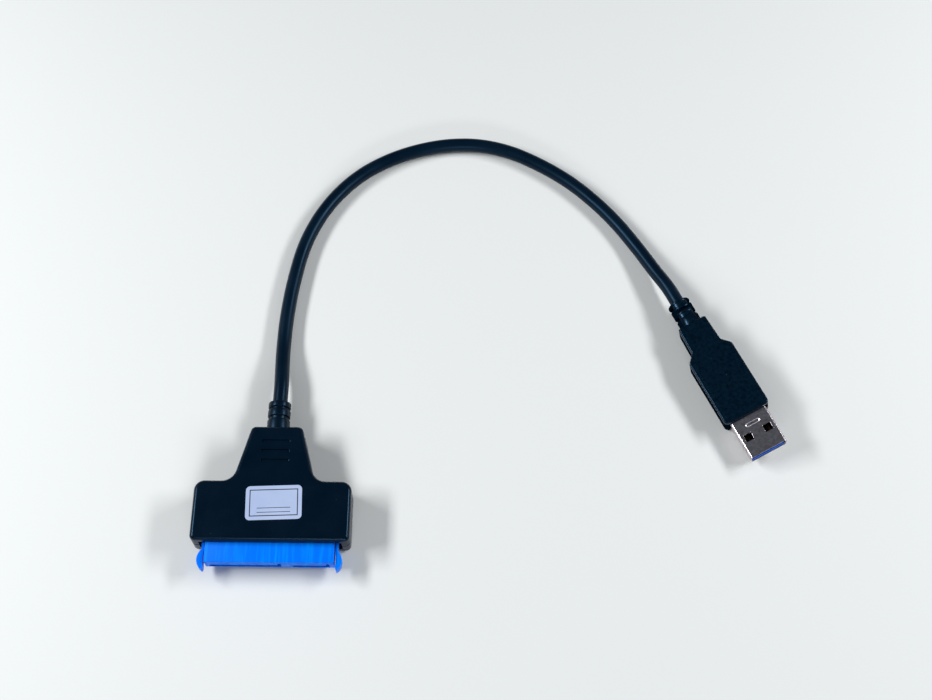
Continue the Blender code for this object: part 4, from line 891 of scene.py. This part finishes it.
steel = plated("shell_steel", (0.92, 0.81, 0.86), (0.34, 0.295, 0.315), (0.18, 0.27), 5200.0,
               clouds=900.0)
pressed_line(steel)
sheet = usb_shell()
sheet.materials.append(steel)
sheet.shade_smooth()
sheet.set_sharp_from_angle(angle=np.radians(40))
usb_tube = bpy.data.objects.new("plug_sheet_shell", sheet)
bpy.context.scene.collection.objects.link(usb_tube)
thick = usb_tube.modifiers.new("sheet_thickness", "SOLIDIFY")
thick.thickness, thick.offset, thick.use_even_offset = SHEET, -1, True
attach(usb_tube, "root")
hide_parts("plug_shell")

# Insert. The blue tongue and root block inside the steel tube, moulded in one piece of nylon; the
# tongue's tip shows blue in the mouth of the tube, and behind it the nylon is painted near black
# as painted shade inside the tube.


def shaded_tongue(name):
    """Blue nylon with painted shade: near black laid over it behind the tongue's tip, where the
    inside of the tube lies in shade.
    """
    material = moulded(name, (0.0, 0.065, 0.40), (0.0, 0.085, 0.47), (0.34, 0.46), depth=0.05,
                       specular=0.08, tint=COOL)
    tree = material.node_tree
    tube_shade_mask = ramp(tree, plug_axes(tree)[1], SHELL_TIP + 1.0 * mm, SHELL_TIP + 2.0 * mm)
    # Painted shade: the nylon turns near black from just behind the tip.
    laid_over(tree, tube_shade_mask, (0.0005, 0.002, 0.008, 1))
    return material


refined("plug_tongue", "plug_insert", shaded_tongue("tongue_blue_painted_shade"), 0.06 * mm)

# Table and light. A plain pale table, soft lamps to the left and right above it, a weaker one low
# in front and a dim even sky, at a level where a surface renders about as its colour is written.
TABLE_SIZE = 6.0
LAMPS = ((-0.46, 0.05, 0.42, 4.0), (0.58, 0.14, 0.42, 3.4), (0.08, -0.62, 0.30, 1.5))
LAMP_WIDTH, LAMP_LENGTH = 0.10, 0.40
SKY = 0.11
table_mesh = bpy.data.meshes.new("table")
half = TABLE_SIZE / 2
table_mesh.from_pydata([(-half, -half, 0), (half, -half, 0), (half, half, 0), (-half, half, 0)], [],
                       [(0, 1, 2, 3)])
table = bpy.data.objects.new("table", table_mesh)
bpy.context.scene.collection.objects.link(table)
table_white = bpy.data.materials.new("table_pale")
table_white.use_nodes = True
table_shader = table_white.node_tree.nodes["Principled BSDF"]
table_shader.inputs["Base Color"].default_value = (0.74, 0.73, 0.71, 1)
table_shader.inputs["Roughness"].default_value = 0.7
table_mesh.materials.append(table_white)
aim = Vector((0.06, 0.04, 0))
for i, (*place, power) in enumerate(LAMPS):
    lamp = bpy.data.objects.new(f"lamp_{i + 1}", bpy.data.lights.new(f"lamp_{i + 1}", "AREA"))
    lamp.data.shape, lamp.data.energy, lamp.data.color = "RECTANGLE", power, (0.93, 0.97, 1.0)
    lamp.data.size, lamp.data.size_y = LAMP_LENGTH, LAMP_WIDTH
    lamp.location = place
    lamp.rotation_euler = (aim - Vector(place)).to_track_quat("-Z", "Y").to_euler()
    bpy.context.scene.collection.objects.link(lamp)
sky = bpy.data.worlds.new("sky")
sky.use_nodes = True
sky.node_tree.nodes["Background"].inputs["Color"].default_value = (0.74, 0.89, 1.0, 1)
sky.node_tree.nodes["Background"].inputs["Strength"].default_value = SKY
bpy.context.scene.world = sky
bpy.context.scene.view_settings.view_transform = "Standard"
